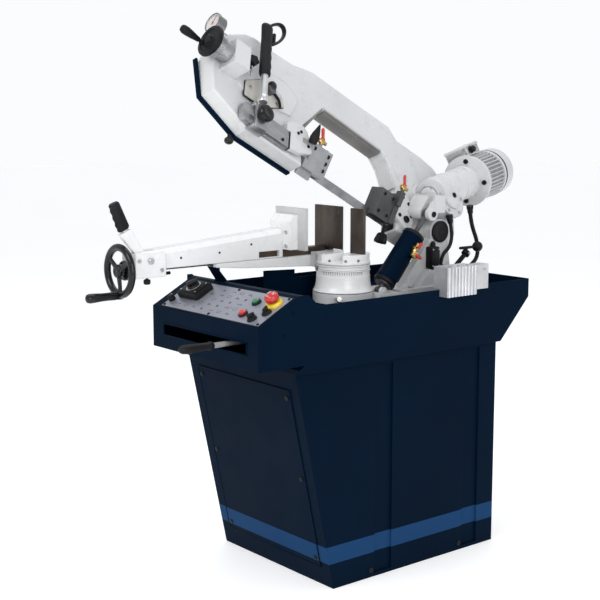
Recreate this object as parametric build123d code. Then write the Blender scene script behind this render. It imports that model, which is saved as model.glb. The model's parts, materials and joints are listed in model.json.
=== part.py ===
from build123d import *
from math import cos, radians, sin, tan
import os

os.makedirs("parts", exist_ok=True)

# A mitring metal-cutting band saw with a swinging bow, on its stand.
# Millimetres. Origin on the floor under the swivel axis; +Z up, operator at -Y, +X to the operator's right.

# ---- stand, tray and control box
SHEET = 3.0
STAND_HALF = 274.0
TRAY_HALF = 294.0
FOOT_FRONT, FOOT_REAR = -271.0, 425.0
STAND_TOP, STAND_TOP_FRONT = 678.0, -417.0
TRAY_FRONT, TRAY_REAR = -401.0, 556.0
TRAY_RIM = 873.0
DECK = 815.0
BOX_FRONT, BOX_LEFT, BOX_RIGHT = -564.0, -241.0, 290.8
BOX_LOW, BOX_HIGH, BOX_TOP = 704.0, 830.0, 906.0
PANEL_SLOPE = 28.0
BOX_TOP_Y = BOX_FRONT + (BOX_TOP - BOX_HIGH) / tan(radians(PANEL_SLOPE))
RIB_BANDS = ((-106.0, -35.0), (277.0, 348.0))
ANCHOR_X, ANCHOR_FRONT, ANCHOR_REAR, ANCHOR_R = 230.0, -215.0, 370.0, 7.0

# ---- column, vice and jaws
POST_R, DRUM_R, RING_R = 55.0, 85.0, 97.0
TABLE = 972.0
RING_LOW, RING_HIGH = 818.0, 850.0
SWIVEL_MAX = 45.0
FIXED_FACE, MOVING_FACE = 12.0, -132.0
JAW_LEFT, JAW_RIGHT, JAW_TOP = -156.0, -16.0, 1117.0
ARM_LEFT, ARM_RIGHT = -150.0, -88.0
ARM_MID = (ARM_LEFT + ARM_RIGHT) / 2
BED_TOP = 962.0
RAIL_L, RAIL_R, RAIL_TOP = ARM_MID - 18, ARM_MID + 18, 985.0
SCREW_Z, SCREW_R = 963.0, 9.0
WHEEL_Y = -752.0
LOCK_X, LOCK_Y, LOCK_Z = 130.0, -60.0, 763.0

# ---- bow geometry: pitch of the raised blade, lean of the bow, pivot and wheels
PITCH, LEAN = 29.0, 27.0
PIVOT_Y, PIVOT_Z = 358.0, 1023.0
PIVOT_DROP = 58.0
WHEEL_R, WHEEL_W = 145.0, 28.0
FRONT_C, REAR_C, WHEEL_T = -775.0, 9.5, WHEEL_R
BLADE_W, BLADE_T = 27.0, 0.9
BAND_TURN = LEAN - 90
WEB_OUT, WEB_IN, WALL_FAR = 30.0, 22.0, -26.0
COVER_OUT = -35.0
RUN = 0.05

# rearward, upward (square to the blade) and the blade's foot point below the pivot
REARWARD = Vector(0, cos(radians(PITCH)), -sin(radians(PITCH)))
NORMAL = Vector(0, sin(radians(PITCH)), cos(radians(PITCH)))
FOOT = Vector(0, PIVOT_Y, PIVOT_Z) - NORMAL * PIVOT_DROP
ACROSS = Vector(1, 0, 0) * cos(radians(LEAN)) + NORMAL * sin(radians(LEAN))
BOW = Plane(origin=FOOT, x_dir=REARWARD, z_dir=ACROSS)
BLADE_LINE = Plane(origin=FOOT, x_dir=REARWARD, z_dir=Vector(1, 0, 0))
PANEL = Plane(
    origin=(0, BOX_FRONT, BOX_HIGH),
    x_dir=(1, 0, 0),
    z_dir=(0, -sin(radians(PANEL_SLOPE)), cos(radians(PANEL_SLOPE))),
)
FRONT_FACE = Plane(
    origin=(0, FOOT_FRONT, 0),
    x_dir=(1, 0, 0),
    z_dir=(0, -STAND_TOP, STAND_TOP_FRONT - FOOT_FRONT),
)


# ---- service panel and the controls on the sloped panel
PANEL_SCREWS = [(x, y) for x in (-215, 215) for y in (90, 350, 610)]
SLOT_LEFT, SLOT_RIGHT, SLOT_LOW, SLOT_HIGH = -180.0, 238.0, 748.0, 780.0
# each control: x across, then distance up the slope
SPEED_SWITCH = (-120.0, 92.0)
SMALL_KNOB = (-184.0, 40.0)
STOP_BUTTON, START_BUTTON = (176.0, 42.0), (172.0, 100.0)
SELECTOR_A, SELECTOR_B = (232.0, 30.0), (258.0, 66.0)
ESTOP = (246.0, 108.0)
HOLE_R = 8.0

# ---- vice lever, handwheel, column and cylinder
TANG = ((-734, 1066), (-722, 1072), (-750, 1130), (-762, 1124))
HAND_R, CRANK_R = 80.0, 71.0
COLUMN_X0, COLUMN_X1 = 44.0, 72.0
CYL_X = 80.0
CYL_LOW = (83.0, 852.0)
CYL_TOP = (293.0, 1085.5)
COLUMN_FOOT = ((235, RING_HIGH), (400, RING_HIGH), (392, 880), (290, 905))
CYL_DIR = (Vector(0, *CYL_TOP) - Vector(0, *CYL_LOW)).normalized()

# ---- bow outlines (rearward from the pivot's foot, then up)
OUTLINE = (
    (-601, -26), (-834, -26), (-980, 32), (-1000, 150), (-972, 244), (-880, 310), (-838, 322), (-752, 322),
    (-672, 328), (-578, 357), (-348, 362), (-195, 368), (-152, 336), (-20, 340), (46, 334), (124, 296),
    (168, 220), (172, 120), (126, 10), (60, -26), (-150, -26),
)
WINDOW = ((-148, -40), (-152, 140), (-190, 215), (-228, 250), (-520, 246), (-610, 118), (-601, -40))
POCKET_FRONT = (
    (-612, -17), (-832, -17), (-972, 38), (-991, 150), (-963, 240), (-876, 301), (-836, 313), (-752, 313),
    (-672, 319), (-640, 328), (-640, 262), (-530, 262), (-620, 122), (-612, 60),
)
POCKET_REAR = (
    (-139, -17), (56, -17), (118, 16), (162, 122), (158, 217), (116, 288), (43, 325), (-20, 331),
    (-155, 327), (-160, 262), (-226, 262), (-182, 220), (-143, 142),
)
BLADE_TOP = 2 * WHEEL_R
EDGE_R = 7.0

# ---- motor, blade tension, guides, handle and hoses
MOTOR_TILT = 40.0
MOTOR_AXIS = Plane(
    origin=(2, WHEEL_T + 33, 96),
    x_dir=(0, 0, 1),
    z_dir=(cos(radians(MOTOR_TILT)), sin(radians(MOTOR_TILT)), 0),
)
TENSION_T, TENSION_W = 154.0, 62.0
FRONT_TAP, REAR_TAP = (-552.0, 104.0, 18.0), (-182.0, 132.0, 32.0)
BAR_W0, BAR_W1 = 38.0, 56.0
BAR_T0, BAR_T1 = -22.0, 40.0
REAR_BRACKET = ((-196, 52), (-180, 104), (-128, 120), (-86, 110), (-72, 60), (-88, 0), (-120, -14), (-176, 18))
HANDLE_FOOT, HANDLE_TOP = (-832, 46, 84), (-840, 330, 84)
GRIP_LOW, GRIP_HIGH = 145.0, 336.0
HOSE_A = ((88, 392, 1062), (90, 398, 1030), (92, 399, 998), (93, 386, 968), (90, 356, 948), (88, 352, 915.9))
HOSE_B = ((58, 520, 1085), (56, 526, 1055), (52, 542, 1020), (50, 562, 985), (50, 572, 952), (56, 562, 922),
          (68, 530, 904), (77, 484, 888), (82, 458, 862), (85, 438, 838), (86, 411.4, 834.5))


# ---- small builders
def save(name, shape):
    export_step(shape, f"parts/{name}.step")


def block(x0, x1, y0, y1, z0, z1):
    return Pos((x0 + x1) / 2, (y0 + y1) / 2, (z0 + z1) / 2) * Box(x1 - x0, y1 - y0, z1 - z0)


def rod(start, end, radius, tip_radius=None):
    line = Vector(*end) - Vector(*start)
    place = Plane(origin=start, z_dir=line)
    low = (Align.CENTER, Align.CENTER, Align.MIN)
    if tip_radius is None:
        return place * Cylinder(radius, line.length, align=low)
    return place * Cone(radius, tip_radius, line.length, align=low)


def prism(points, plane, low, high):
    face = make_face(Polyline(*points, close=True))
    return extrude(plane.offset(low) * face, high - low)


def side_prism(points, x0, x1):
    """A (y, z) outline carried from x0 to x1."""
    return prism(points, Plane.YZ, x0, x1)


def bow_prism(points, w0, w1):
    """A (rearward, up) outline in the bow's own plane, carried across it."""
    return BOW.location * prism(points, Plane.XY, w0, w1)


def bow_block(r0, r1, t0, t1, w0, w1):
    return BOW.location * block(r0, r1, t0, t1, w0, w1)


def bow_rod(start, end, radius, tip_radius=None):
    return BOW.location * rod(start, end, radius, tip_radius)


def line_block(r0, r1, n0, n1, x0, x1):
    return BLADE_LINE.location * block(r0, r1, n0, n1, x0, x1)


def line_rod(start, end, radius, tip_radius=None):
    return BLADE_LINE.location * rod(start, end, radius, tip_radius)


def panel_rod(x, along, low, high, radius, tip_radius=None):
    return PANEL.location * rod((x, along, low), (x, along, high), radius, tip_radius)


def group(*shapes):
    solids = []
    for shape in shapes:
        solids.extend(shape.solids())
    return Compound(children=solids)


def tube_path(points, radius):
    """A round tube along straight runs joined by tangent arcs; prints its smallest bend."""
    pts = [Vector(*p) for p in points]
    radii = []
    for a, b, c in zip(pts, pts[1:], pts[2:]):
        turn = radians((b - a).get_angle(c - b))
        radii.append(0.45 * min((b - a).length, (c - b).length) / tan(turn / 2))
    print("bends", [round(r, 1) for r in radii])
    path = FilletPolyline(*pts, radius=radii)
    start = Plane(origin=pts[0], z_dir=pts[1] - pts[0])
    return sweep(start * Circle(radius), path=path)


# ---- stand
def stand_cabinet():
    outline = ((FOOT_FRONT, 0), (FOOT_REAR, 0), (FOOT_REAR, STAND_TOP), (STAND_TOP_FRONT, STAND_TOP))
    shell = side_prism(outline, -STAND_HALF, STAND_HALF)
    inside = side_prism(
        (
            (FOOT_FRONT + SHEET, SHEET),
            (FOOT_REAR - SHEET, SHEET),
            (FOOT_REAR - SHEET, STAND_TOP + 1),
            (STAND_TOP_FRONT + SHEET, STAND_TOP + 1),
        ),
        -STAND_HALF + SHEET,
        STAND_HALF - SHEET,
    )
    depth = 6.0
    for side in (-1, 1):
        for y0, y1 in RIB_BANDS:
            xs = sorted((side * (STAND_HALF - depth - SHEET), side * (STAND_HALF - SHEET)))
            inside -= block(xs[0], xs[1], y0 - SHEET, y1 + SHEET, 9, STAND_TOP - 9)
            xs = sorted((side * (STAND_HALF - depth), side * (STAND_HALF + 1)))
            shell -= block(xs[0], xs[1], y0, y1, 12, STAND_TOP - 12)
    shell -= inside
    for x in (-ANCHOR_X, ANCHOR_X):
        for y in (ANCHOR_FRONT, ANCHOR_REAR):
            shell -= Pos(x, y, 0) * Cylinder(ANCHOR_R, 20)
    return shell


def front_service_panel():
    plate = Pos(0, 350, 1) * Box(460, 570, 2)
    for x, y in PANEL_SCREWS:
        plate -= Pos(x, y, 1) * Cylinder(4.2, 4)
    return FRONT_FACE.location * plate


def chip_tray():
    outline = (
        (STAND_TOP_FRONT, STAND_TOP),
        (FOOT_REAR, STAND_TOP),
        (TRAY_REAR, 813),
        (TRAY_REAR, TRAY_RIM),
        (-348, TRAY_RIM),
        (-383, BOX_TOP),
        (TRAY_FRONT, BOX_TOP),
        (TRAY_FRONT, 703),
        (STAND_TOP_FRONT, 692),
    )
    tray = side_prism(outline, -TRAY_HALF, TRAY_HALF)
    inner = TRAY_HALF - SHEET
    tray -= block(-inner, inner, TRAY_FRONT + SHEET, TRAY_REAR - SHEET, DECK, 1000)
    below = (
        (STAND_TOP_FRONT + SHEET, 670),
        (421, 670),
        (421, 678),
        (550, DECK - SHEET),
        (TRAY_FRONT + SHEET, DECK - SHEET),
        (TRAY_FRONT + SHEET, 701),
        (STAND_TOP_FRONT + SHEET, 690),
    )
    tray -= side_prism(below, -inner, inner)
    tray -= block(-190, 242, TRAY_FRONT - 1, TRAY_FRONT + SHEET + 1, 738, 790)
    tray -= Pos(0, 0, DECK) * Cylinder(POST_R + 0.5, 20)
    cheek = (
        (BOX_FRONT, BOX_LOW),
        (TRAY_FRONT, BOX_LOW),
        (TRAY_FRONT, BOX_TOP),
        (BOX_TOP_Y, BOX_TOP),
        (BOX_FRONT, BOX_HIGH),
    )
    return tray + side_prism(cheek, inner, TRAY_HALF)


def control_box():
    rear = TRAY_FRONT - 0.2
    outline = (
        (BOX_FRONT, BOX_LOW),
        (rear, BOX_LOW),
        (rear, BOX_TOP),
        (BOX_TOP_Y, BOX_TOP),
        (BOX_FRONT, BOX_HIGH),
    )
    box = side_prism(outline, BOX_LEFT, BOX_RIGHT)
    t = 2.5
    hollow = (
        (BOX_FRONT + t, BOX_LOW + t),
        (rear + 1, BOX_LOW + t),
        (rear + 1, BOX_TOP - t),
        (BOX_TOP_Y + 0.7, BOX_TOP - t),
        (BOX_FRONT + t, BOX_HIGH - 1.6),
    )
    box -= side_prism(hollow, BOX_LEFT + t, BOX_RIGHT - t)
    box -= block(SLOT_LEFT, SLOT_RIGHT, BOX_FRONT - 1, BOX_FRONT + t + 1, SLOT_LOW, SLOT_HIGH)
    return box - panel_holes()


def panel_holes():
    spots = (STOP_BUTTON, START_BUTTON, SELECTOR_A, SELECTOR_B, ESTOP, SMALL_KNOB, SPEED_SWITCH)
    cuts = [panel_rod(x, a, -12, 12, HOLE_R) for x, a in spots]
    return Part() + cuts


def control_plate():
    plate = PANEL.location * block(-200, 284, 8, 146, 0, 1.5)
    return plate - panel_holes()


def ring_on_panel(spot, low, high, outer, inner):
    x, a = spot
    return panel_rod(x, a, low, high, outer) - panel_rod(x, a, low - 1, high + 1, inner)


def button_collars():
    spots = (STOP_BUTTON, START_BUTTON, SELECTOR_A, SELECTOR_B)
    return group(*[ring_on_panel(spot, 1.5, 6.5, 15, 12) for spot in spots])


def push_button(spot):
    x, a = spot
    return panel_rod(x, a, -9, 6.2, 7) + panel_rod(x, a, 6.2, 13, 11.4)


def selector_knob(spot):
    x, a = spot
    body = panel_rod(x, a, -9, 4, 7) + panel_rod(x, a, 4, 9, 11.4)
    return body + PANEL.location * block(x - 3.5, x + 3.5, a - 11, a + 11, 9, 20)


def estop_collar():
    return ring_on_panel(ESTOP, 1.5, 12, 25, 12)


def estop_button():
    x, a = ESTOP
    stem = panel_rod(x, a, -9, 22, 7)
    cap = panel_rod(x, a, 22, 27, 15, 20) + panel_rod(x, a, 27, 34, 20) + panel_rod(x, a, 34, 39, 20, 13)
    return stem + cap


def switch_housing():
    x, a = SPEED_SWITCH
    body = block(x - 50, x + 50, a - 36, a + 36, 1.5, 26)
    body = fillet(body.edges().filter_by(Axis.Z), 6)
    body -= Pos(x, a, 14) * Cylinder(HOLE_R, 40)
    return PANEL.location * body


def switch_knob():
    x, a = SPEED_SWITCH
    body = panel_rod(x, a, 2, 27, 7) + panel_rod(x, a, 27, 33, 20, 17)
    return body + PANEL.location * block(x - 5, x + 5, a - 17, a + 17, 33, 45)


def small_knob():
    x, a = SMALL_KNOB
    return panel_rod(x, a, -9, 2, 7) + panel_rod(x, a, 2, 20, 11, 9.5)


# ---- inside the stand
def coolant_tank():
    tank = block(-200, 200, -120, 300, 3, 170)
    return tank - block(-197, 197, -117, 297, 6, 171)


def coolant_pump():
    flange = block(60, 180, 60, 180, 170, 176) + block(-196.5, 196.5, 110, 130, 160, 170)
    motor = rod((120, 120, 176), (120, 120, 300), 52)
    suction = rod((120, 120, 20), (120, 120, 170), 30)
    return flange + motor + suction


# ---- column and vice
def base_column():
    body = Pos(0, 0, 798) * Cylinder(100, 14, align=(Align.CENTER, Align.CENTER, Align.MIN))
    body += block(60, 160, -92, -28, 798, 812)
    body += rod((LOCK_X, LOCK_Y, 738), (LOCK_X, LOCK_Y, 798), 10)
    body += rod((LOCK_X, LOCK_Y, 732), (LOCK_X, LOCK_Y, 739), 16)
    body += rod((0, 0, 800), (0, 0, 860), POST_R)
    body += rod((0, 0, RING_HIGH + 1), (0, 0, TABLE), DRUM_R)
    body -= kerf_sector(90, 90 + SWIVEL_MAX)
    body -= kerf_sector(270, 270 + SWIVEL_MAX)
    return body


def kerf_sector(start, end):
    """Room in the table for the blade over every mitre angle."""
    margin, reach, low = 4.0, 130.0, TABLE - 30
    points = [(0, 0)]
    for step in range(7):
        angle = radians(start + (end - start) * step / 6)
        points.append((reach * cos(angle), reach * sin(angle)))
    wedge = prism(points, Plane.XY, low, TABLE + 1)
    for angle in (start, end):
        wedge += Rot(0, 0, angle) * block(-margin, reach, -margin, margin, low, TABLE + 1)
    return wedge


def vice_bed():
    profile = ((-430, 950), (-330, 940), (-60, 925), (45, 925), (45, BED_TOP), (-430, BED_TOP))
    bed = side_prism(profile, ARM_LEFT, ARM_RIGHT)
    bed += block(ARM_LEFT, -30, -62, 45, 925, TABLE - 0.1)
    bed -= block(RAIL_L - 1, RAIL_R + 1, -440, 9, BED_TOP, TABLE + 1)
    bed -= block(ARM_LEFT - 1, ARM_RIGHT + 1, -63, 9, BED_TOP, TABLE + 1)
    bed -= rod((0, 0, 900), (0, 0, 990), DRUM_R)
    bed -= block(ARM_MID - 11.5, ARM_MID + 11.5, -440, 9.5, 950, BED_TOP + 1)
    return bed


def slide_rail():
    rail = block(RAIL_L, RAIL_R, -380, 8, BED_TOP, RAIL_TOP)
    return rail - block(ARM_MID - 11.5, ARM_MID + 11.5, -381, 9, BED_TOP - 1, SCREW_Z + 11)


def vice_nut():
    nut = block(ARM_MID - 11, ARM_MID + 11, -425, -385, 950.5, 976)
    return nut - rod((ARM_MID, -430, SCREW_Z), (ARM_MID, -380, SCREW_Z), SCREW_R + RUN)


def vice_screw():
    screw = rod((ARM_MID, -745, SCREW_Z), (ARM_MID, -330, SCREW_Z), SCREW_R)
    return screw + rod((ARM_MID, -608.6, SCREW_Z), (ARM_MID, -603, SCREW_Z), 10.6)


def arm_chamfer():
    """Sloped flat along the near top edge of the jaw's arm."""
    start = Plane(origin=(ARM_RIGHT, -700, 1013.2), x_dir=(1, 0, 0), z_dir=(0, 514, 39))
    face = make_face(Polyline((-15.4, -1.4), (1.4, -1.4), (1.4, 15.4), close=True))
    return extrude(start * face, 522)


def moving_jaw():
    profile = ((-690, 963), (-176, 963), (-176, 1053), (-690, 1014))
    jaw = side_prism(profile, ARM_LEFT, ARM_RIGHT) - arm_chamfer()
    pad = ((-176, 988), (-146, 988), (-146, 1098), (-160, 1098), (-176, 1075))
    jaw += side_prism(pad, ARM_LEFT - 2, -50)
    jaw += block(ARM_LEFT - 6, ARM_RIGHT + 6, -720, -617, 940, 1012)
    jaw -= block(RAIL_L - 1, RAIL_R + 1, -609, -140, 938, RAIL_TOP + 0.6)
    jaw -= block(ARM_MID + 17, ARM_RIGHT + 7, -270, -190, 967, 986)
    jaw -= rod((ARM_MID, -730, SCREW_Z), (ARM_MID, -600, SCREW_Z), SCREW_R + RUN)
    jaw -= block(ARM_MID - 9, ARM_MID + 9, -713, -640, 972.5, 1020)
    return jaw + rod((ARM_LEFT - 10, -672, 990), (ARM_RIGHT + 10, -672, 990), 6)


def moving_jaw_plate():
    return block(JAW_LEFT - 6, JAW_RIGHT, MOVING_FACE - 14, MOVING_FACE, RAIL_TOP + 1, JAW_TOP + 2)


def fixed_jaws():
    bevel = ((JAW_LEFT, FIXED_FACE), (-15, FIXED_FACE), (-25, FIXED_FACE + 10), (JAW_LEFT, FIXED_FACE + 10))
    left = prism(bevel, Plane.XY, 979, JAW_TOP)
    left += block(-150, -95, FIXED_FACE + 10, 40, TABLE, 1010)
    right = block(20, 82, FIXED_FACE, FIXED_FACE + 10, TABLE, JAW_TOP - 2)
    return group(left, right)


def quick_clamp_lever():
    hub = rod((ARM_MID - 8, -672, 990), (ARM_MID + 8, -672, 990), 16)
    arm = ((-688, 992), (-662, 1000), (-718, 1084), (-752, 1068))
    lever = hub + side_prism(arm, ARM_MID - 8, ARM_MID + 8)
    lever += side_prism(TANG, ARM_MID - 5, ARM_MID + 5)
    return lever - rod((ARM_MID - 20, -672, 990), (ARM_MID + 20, -672, 990), 6 + RUN)


def quick_clamp_grip():
    grip = side_prism(((-757, 1072), (-714, 1092), (-752, 1168), (-786, 1152)), ARM_MID - 12, ARM_MID + 12)
    return grip - side_prism(TANG, ARM_MID - 5, ARM_MID + 5)


def vice_collar():
    collar = rod((ARM_MID, -742, SCREW_Z), (ARM_MID, -721, SCREW_Z), 29)
    return collar - rod((ARM_MID, -743, SCREW_Z), (ARM_MID, -720, SCREW_Z), SCREW_R)


def vice_handwheel():
    rim = Pos(ARM_MID, WHEEL_Y, SCREW_Z) * revolve(Pos(HAND_R - 9.2, 0) * RegularPolygon(9.2, 16), Axis.Y)
    hub = rod((ARM_MID, WHEEL_Y - 14, SCREW_Z), (ARM_MID, WHEEL_Y + 9.5, SCREW_Z), 20)
    wheel = hub + rim
    for turn in (30, 150, 270):
        end = (ARM_MID + 70 * cos(radians(turn)), WHEEL_Y, SCREW_Z + 70 * sin(radians(turn)))
        wheel += rod((ARM_MID, WHEEL_Y, SCREW_Z), end, 8)
    wheel -= rod((ARM_MID, WHEEL_Y + 4, SCREW_Z), (ARM_MID, WHEEL_Y + 20, SCREW_Z), SCREW_R)
    boss = rod((ARM_MID, WHEEL_Y - 10, SCREW_Z - CRANK_R), (ARM_MID, WHEEL_Y + 8, SCREW_Z - CRANK_R), 12)
    axle = rod((ARM_MID, WHEEL_Y - 106, SCREW_Z - CRANK_R), (ARM_MID, WHEEL_Y, SCREW_Z - CRANK_R), 5)
    return wheel + boss + axle


def handwheel_handle():
    low, top = WHEEL_Y - 112, WHEEL_Y - 11
    z = SCREW_Z - CRANK_R
    handle = rod((ARM_MID, top, z), (ARM_MID, low, z), 11.5, 14)
    return handle - rod((ARM_MID, top + 1, z), (ARM_MID, low + 5, z), 5 + RUN)


def bed_supports():
    web = ((-235, DECK), (-235, 922), (-110, 917), (-110, 891), (-27, 891), (-27, DECK))
    plate = side_prism(web, -113, -110)
    prop = ((-397, DECK), (-389, DECK), (-389, 905), (-418, 939), (-418, 948), (-426, 949), (-397.6, 908))
    return group(plate, side_prism(prop, ARM_LEFT + 4, ARM_RIGHT - 2))


def swivel_lock_lever():
    hub = rod((LOCK_X, LOCK_Y, 745), (LOCK_X, LOCK_Y, 781), 20)
    hub -= rod((LOCK_X, LOCK_Y, 740), (LOCK_X, LOCK_Y, 790), 10 + RUN)
    bar = rod((LOCK_X, LOCK_Y - 18, LOCK_Z), (LOCK_X, -600, LOCK_Z), 8)
    return hub + bar


def lock_lever_grip():
    grip = rod((LOCK_X, -600, LOCK_Z), (LOCK_X, -712, LOCK_Z), 12.5)
    return grip + rod((LOCK_X, -712, LOCK_Z), (LOCK_X, -717, LOCK_Z), 12.5, 9)


def rest_block():
    """Finned aluminium block hooked on the right rim."""
    body = block(296, 330, 137, 268, 852, 944)
    for step in range(9):
        y = 145 + step * 14.2
        body += rod((330, y, 852), (330, y, 944), 4.6)
    body += block(268, 308, 268, 344, 862, 940)
    body += block(268, 296, 140, 268, 874, 944)
    body -= block(290, 296, 130, 350, 840, 874)
    return body


# ---- swivelling column


def swivel_arm():
    ring = rod((0, 0, RING_LOW), (0, 0, RING_HIGH), RING_R)
    base = ((-20, 60), (112, 60), (112, 410), (30, 410), (-20, 360))
    ring += prism(base, Plane.XY, RING_LOW, RING_HIGH)
    ring -= rod((0, 0, RING_LOW - 5), (0, 0, RING_HIGH + 5), POST_R + RUN)
    ring -= block(45, 116, 62, 150, RING_HIGH - 5, RING_HIGH + 1) + block(69.2, 90.8, 62, 100, 838, RING_HIGH)
    web = ((190, RING_HIGH), (405, RING_HIGH), (412, 905), (394, 1012), (330, 1012), (316, 1000))
    ring += side_prism(web, COLUMN_X0, COLUMN_X1)
    ring += side_prism(COLUMN_FOOT, COLUMN_X0, 104)
    ring += rod((COLUMN_X0, PIVOT_Y, PIVOT_Z), (COLUMN_X1, PIVOT_Y, PIVOT_Z), 42)
    for x0, x1 in ((56, 68), (92, 104)):
        y, z = CYL_LOW
        ring += block(x0, x1, y - 13, y + 13, RING_HIGH - 10, z) + rod((x0, y, z), (x1, y, z), 13)
    ring -= rod((30, PIVOT_Y, PIVOT_Z), (90, PIVOT_Y, PIVOT_Z), 15)
    ring -= rod((50, CYL_LOW[0], CYL_LOW[1]), (110, CYL_LOW[0], CYL_LOW[1]), 6)
    return ring - rod((0, 0, RING_HIGH), (0, 0, RING_HIGH + 40), DRUM_R + 2)


def pivot_shaft():
    shaft = rod((COLUMN_X0 - 36, PIVOT_Y, PIVOT_Z), (COLUMN_X1, PIVOT_Y, PIVOT_Z), 15)
    return shaft


def pivot_cap():
    return rod((COLUMN_X1, PIVOT_Y, PIVOT_Z), (COLUMN_X1 + 9, PIVOT_Y, PIVOT_Z), 36)


def lower_pin():
    y, z = CYL_LOW
    return rod((52, y, z), (108, y, z), 6)


def on_cylinder(distance):
    y, z = CYL_LOW
    return (CYL_X, y + CYL_DIR.Y * distance, z + CYL_DIR.Z * distance)


def cylinder_barrel():
    eye = rod((70, *CYL_LOW), (90, *CYL_LOW), 12)
    body = eye + rod(on_cylinder(4), on_cylinder(24), 10) + rod(on_cylinder(22), on_cylinder(34), 27)
    body += rod(on_cylinder(34), on_cylinder(222), 31)
    body -= rod((60, *CYL_LOW), (100, *CYL_LOW), 6 + RUN)
    return body - rod(on_cylinder(40), on_cylinder(230), 8 + RUN)


def cylinder_cover():
    """Shell over the barrel, with the boss of the down-feed valve on its near side."""
    x, y, z = on_cylinder(150)
    cover = rod(on_cylinder(32), on_cylinder(226), 34.5)
    cover -= rod(on_cylinder(20), on_cylinder(223), 31.3) + rod(on_cylinder(200), on_cylinder(240), 12)
    return cover + rod((x + 32.5, y, z), (x + 46, y, z), 11)


def cylinder_rod():
    body = rod(on_cylinder(92), on_cylinder(298), 8)
    body += rod((CYL_X - 7, *CYL_TOP), (CYL_X + 7, *CYL_TOP), 18)
    return body - rod((CYL_X - 10, *CYL_TOP), (CYL_X + 10, *CYL_TOP), 11.5)


def limit_switch():
    return block(COLUMN_X1, COLUMN_X1 + 30, 296, 338, 905, 978)


def cable_gland():
    y = 352.0
    gland = rod((88, y, 880), (88, y, 905), 14) + rod((88, y, 905), (88, y, 915), 10)
    return gland - side_prism(COLUMN_FOOT, COLUMN_X0, 104)


def stop_rod():
    shaft = rod((84, 396, 880), (84, 476, 943), 8)
    clamp = rod((84, 470, 938), (84, 482, 948), 14)
    bar = rod((84, 446, 962), (84, 522, 962), 5)
    return shaft + clamp + bar + rod((84, 476, 943), (84, 478, 962), 6)


def stop_knob():
    ball = Pos(84, 532, 962) * Sphere(18)
    return ball - rod((84, 500, 962), (84, 522.3, 962), 5.1)


# ---- saw bow (coordinates: rearward from the pivot's foot, up, across)


def bow_frame():
    frame = prism(OUTLINE, Plane.XY, WALL_FAR, WEB_OUT) - prism(WINDOW, Plane.XY, WALL_FAR - 1, WEB_OUT + 1)
    near_edges = frame.edges().filter_by_position(Axis.Z, WEB_OUT - 0.1, WEB_OUT + 0.1)
    frame = BOW.location * fillet(near_edges, EDGE_R)
    frame -= bow_prism(POCKET_FRONT, WALL_FAR - 1, WEB_IN)
    frame -= bow_prism(POCKET_REAR, WALL_FAR - 1, WEB_IN)
    frame -= bow_block(-640, -150, BLADE_TOP - 20, BLADE_TOP + 22, WALL_FAR - 1, WEB_IN)
    frame -= bow_block(-660, -100, -16, 16, WALL_FAR - 1, 17)
    frame += front_bosses() + pivot_lug() + cylinder_lug() + rear_bracket()
    frame -= rod((-10, PIVOT_Y, PIVOT_Z), (COLUMN_X0 + 5, PIVOT_Y, PIVOT_Z), 15 + RUN)
    frame -= bow_rod((FRONT_C, WHEEL_T, -30), (FRONT_C, WHEEL_T, 70), 15 + RUN)
    return frame - bow_rod((REAR_C, WHEEL_T, -30), (REAR_C, WHEEL_T, 70), 15 + RUN)


def front_bosses():
    lug = bow_block(-966, -905, 112, 196, WEB_OUT - 2, 94)
    lug -= bow_rod((-980, TENSION_T, TENSION_W), (-900, TENSION_T, TENSION_W), 8.9 + RUN)
    raised = ((-905, 118), (-905, 190), (-848, 214), (-700, 230), (-640, 200), (-668, 120), (-848, 84))
    return lug + bow_prism(raised, WEB_OUT - 1, WEB_OUT + 6)


def pivot_lug():
    lug = rod((8, PIVOT_Y, PIVOT_Z), (COLUMN_X0 - 1, PIVOT_Y, PIVOT_Z), 40)
    lug -= bow_block(-200, 200, -200, 200, WALL_FAR - 60, WEB_OUT - 1)
    return lug


def cylinder_lug():
    y, z = CYL_TOP
    bridge = block(-12, 104, y + 22, y + 62, z + 24, z + 60)
    ear = block(92, 104, y + 10, y + 60, z + 2, z + 60) + rod((92, y, z), (104, y, z), 22)
    ear += side_prism(((y - 16, z + 14), (y + 24, z + 60), (y + 62, z + 60), (y + 20, z - 6)), 92, 104)
    inner = rod((-4, y, z), (66, y, z), 20) + side_prism(
        ((y - 14, z + 13), (y + 24, z + 60), (y + 62, z + 60), (y + 20, z - 4)), -4, 66
    )
    lug = bridge + ear + inner
    lug -= bow_block(-300, 300, -300, 300, WALL_FAR - 100, WEB_OUT - 1)
    lug -= bow_rod((REAR_C, WHEEL_T, 20), (REAR_C, WHEEL_T, 160), 89)
    lug -= motor_place(rod((0, 0, -86), (0, 0, 190), 57))
    return lug - rod((-20, y, z), (120, y, z), 7)


def upper_pin():
    y, z = CYL_TOP
    return rod((50, y, z), (104, y, z), 7) + rod((104, y, z), (111, y, z), 11)


def wheel_cover():
    """Thin door over both band wheels on the far side, with a folded lip."""
    pan = bow_prism(OUTLINE, COVER_OUT, COVER_OUT + 2.5)
    inner = bow_prism(POCKET_FRONT, COVER_OUT + 2.5, WALL_FAR)
    inner += bow_prism(POCKET_REAR, COVER_OUT + 2.5, WALL_FAR)
    inner += bow_block(-640, -150, 262, 326, COVER_OUT + 2.5, WALL_FAR)
    lip = bow_prism(OUTLINE, COVER_OUT + 2.5, WALL_FAR - 0.3) - inner
    cover = pan + lip - bow_prism(WINDOW, COVER_OUT - 1, WALL_FAR + 1)
    return cover


def cover_edge_strip():
    outer = (
        (-1016, 152), (-985, 28), (-836, -33), (-601, -33),
        (-601, -26.2), (-834, -26.2), (-980.4, 32), (-1009, 152),
    )
    return bow_prism(outer, COVER_OUT - 2, COVER_OUT + 15)


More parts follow.
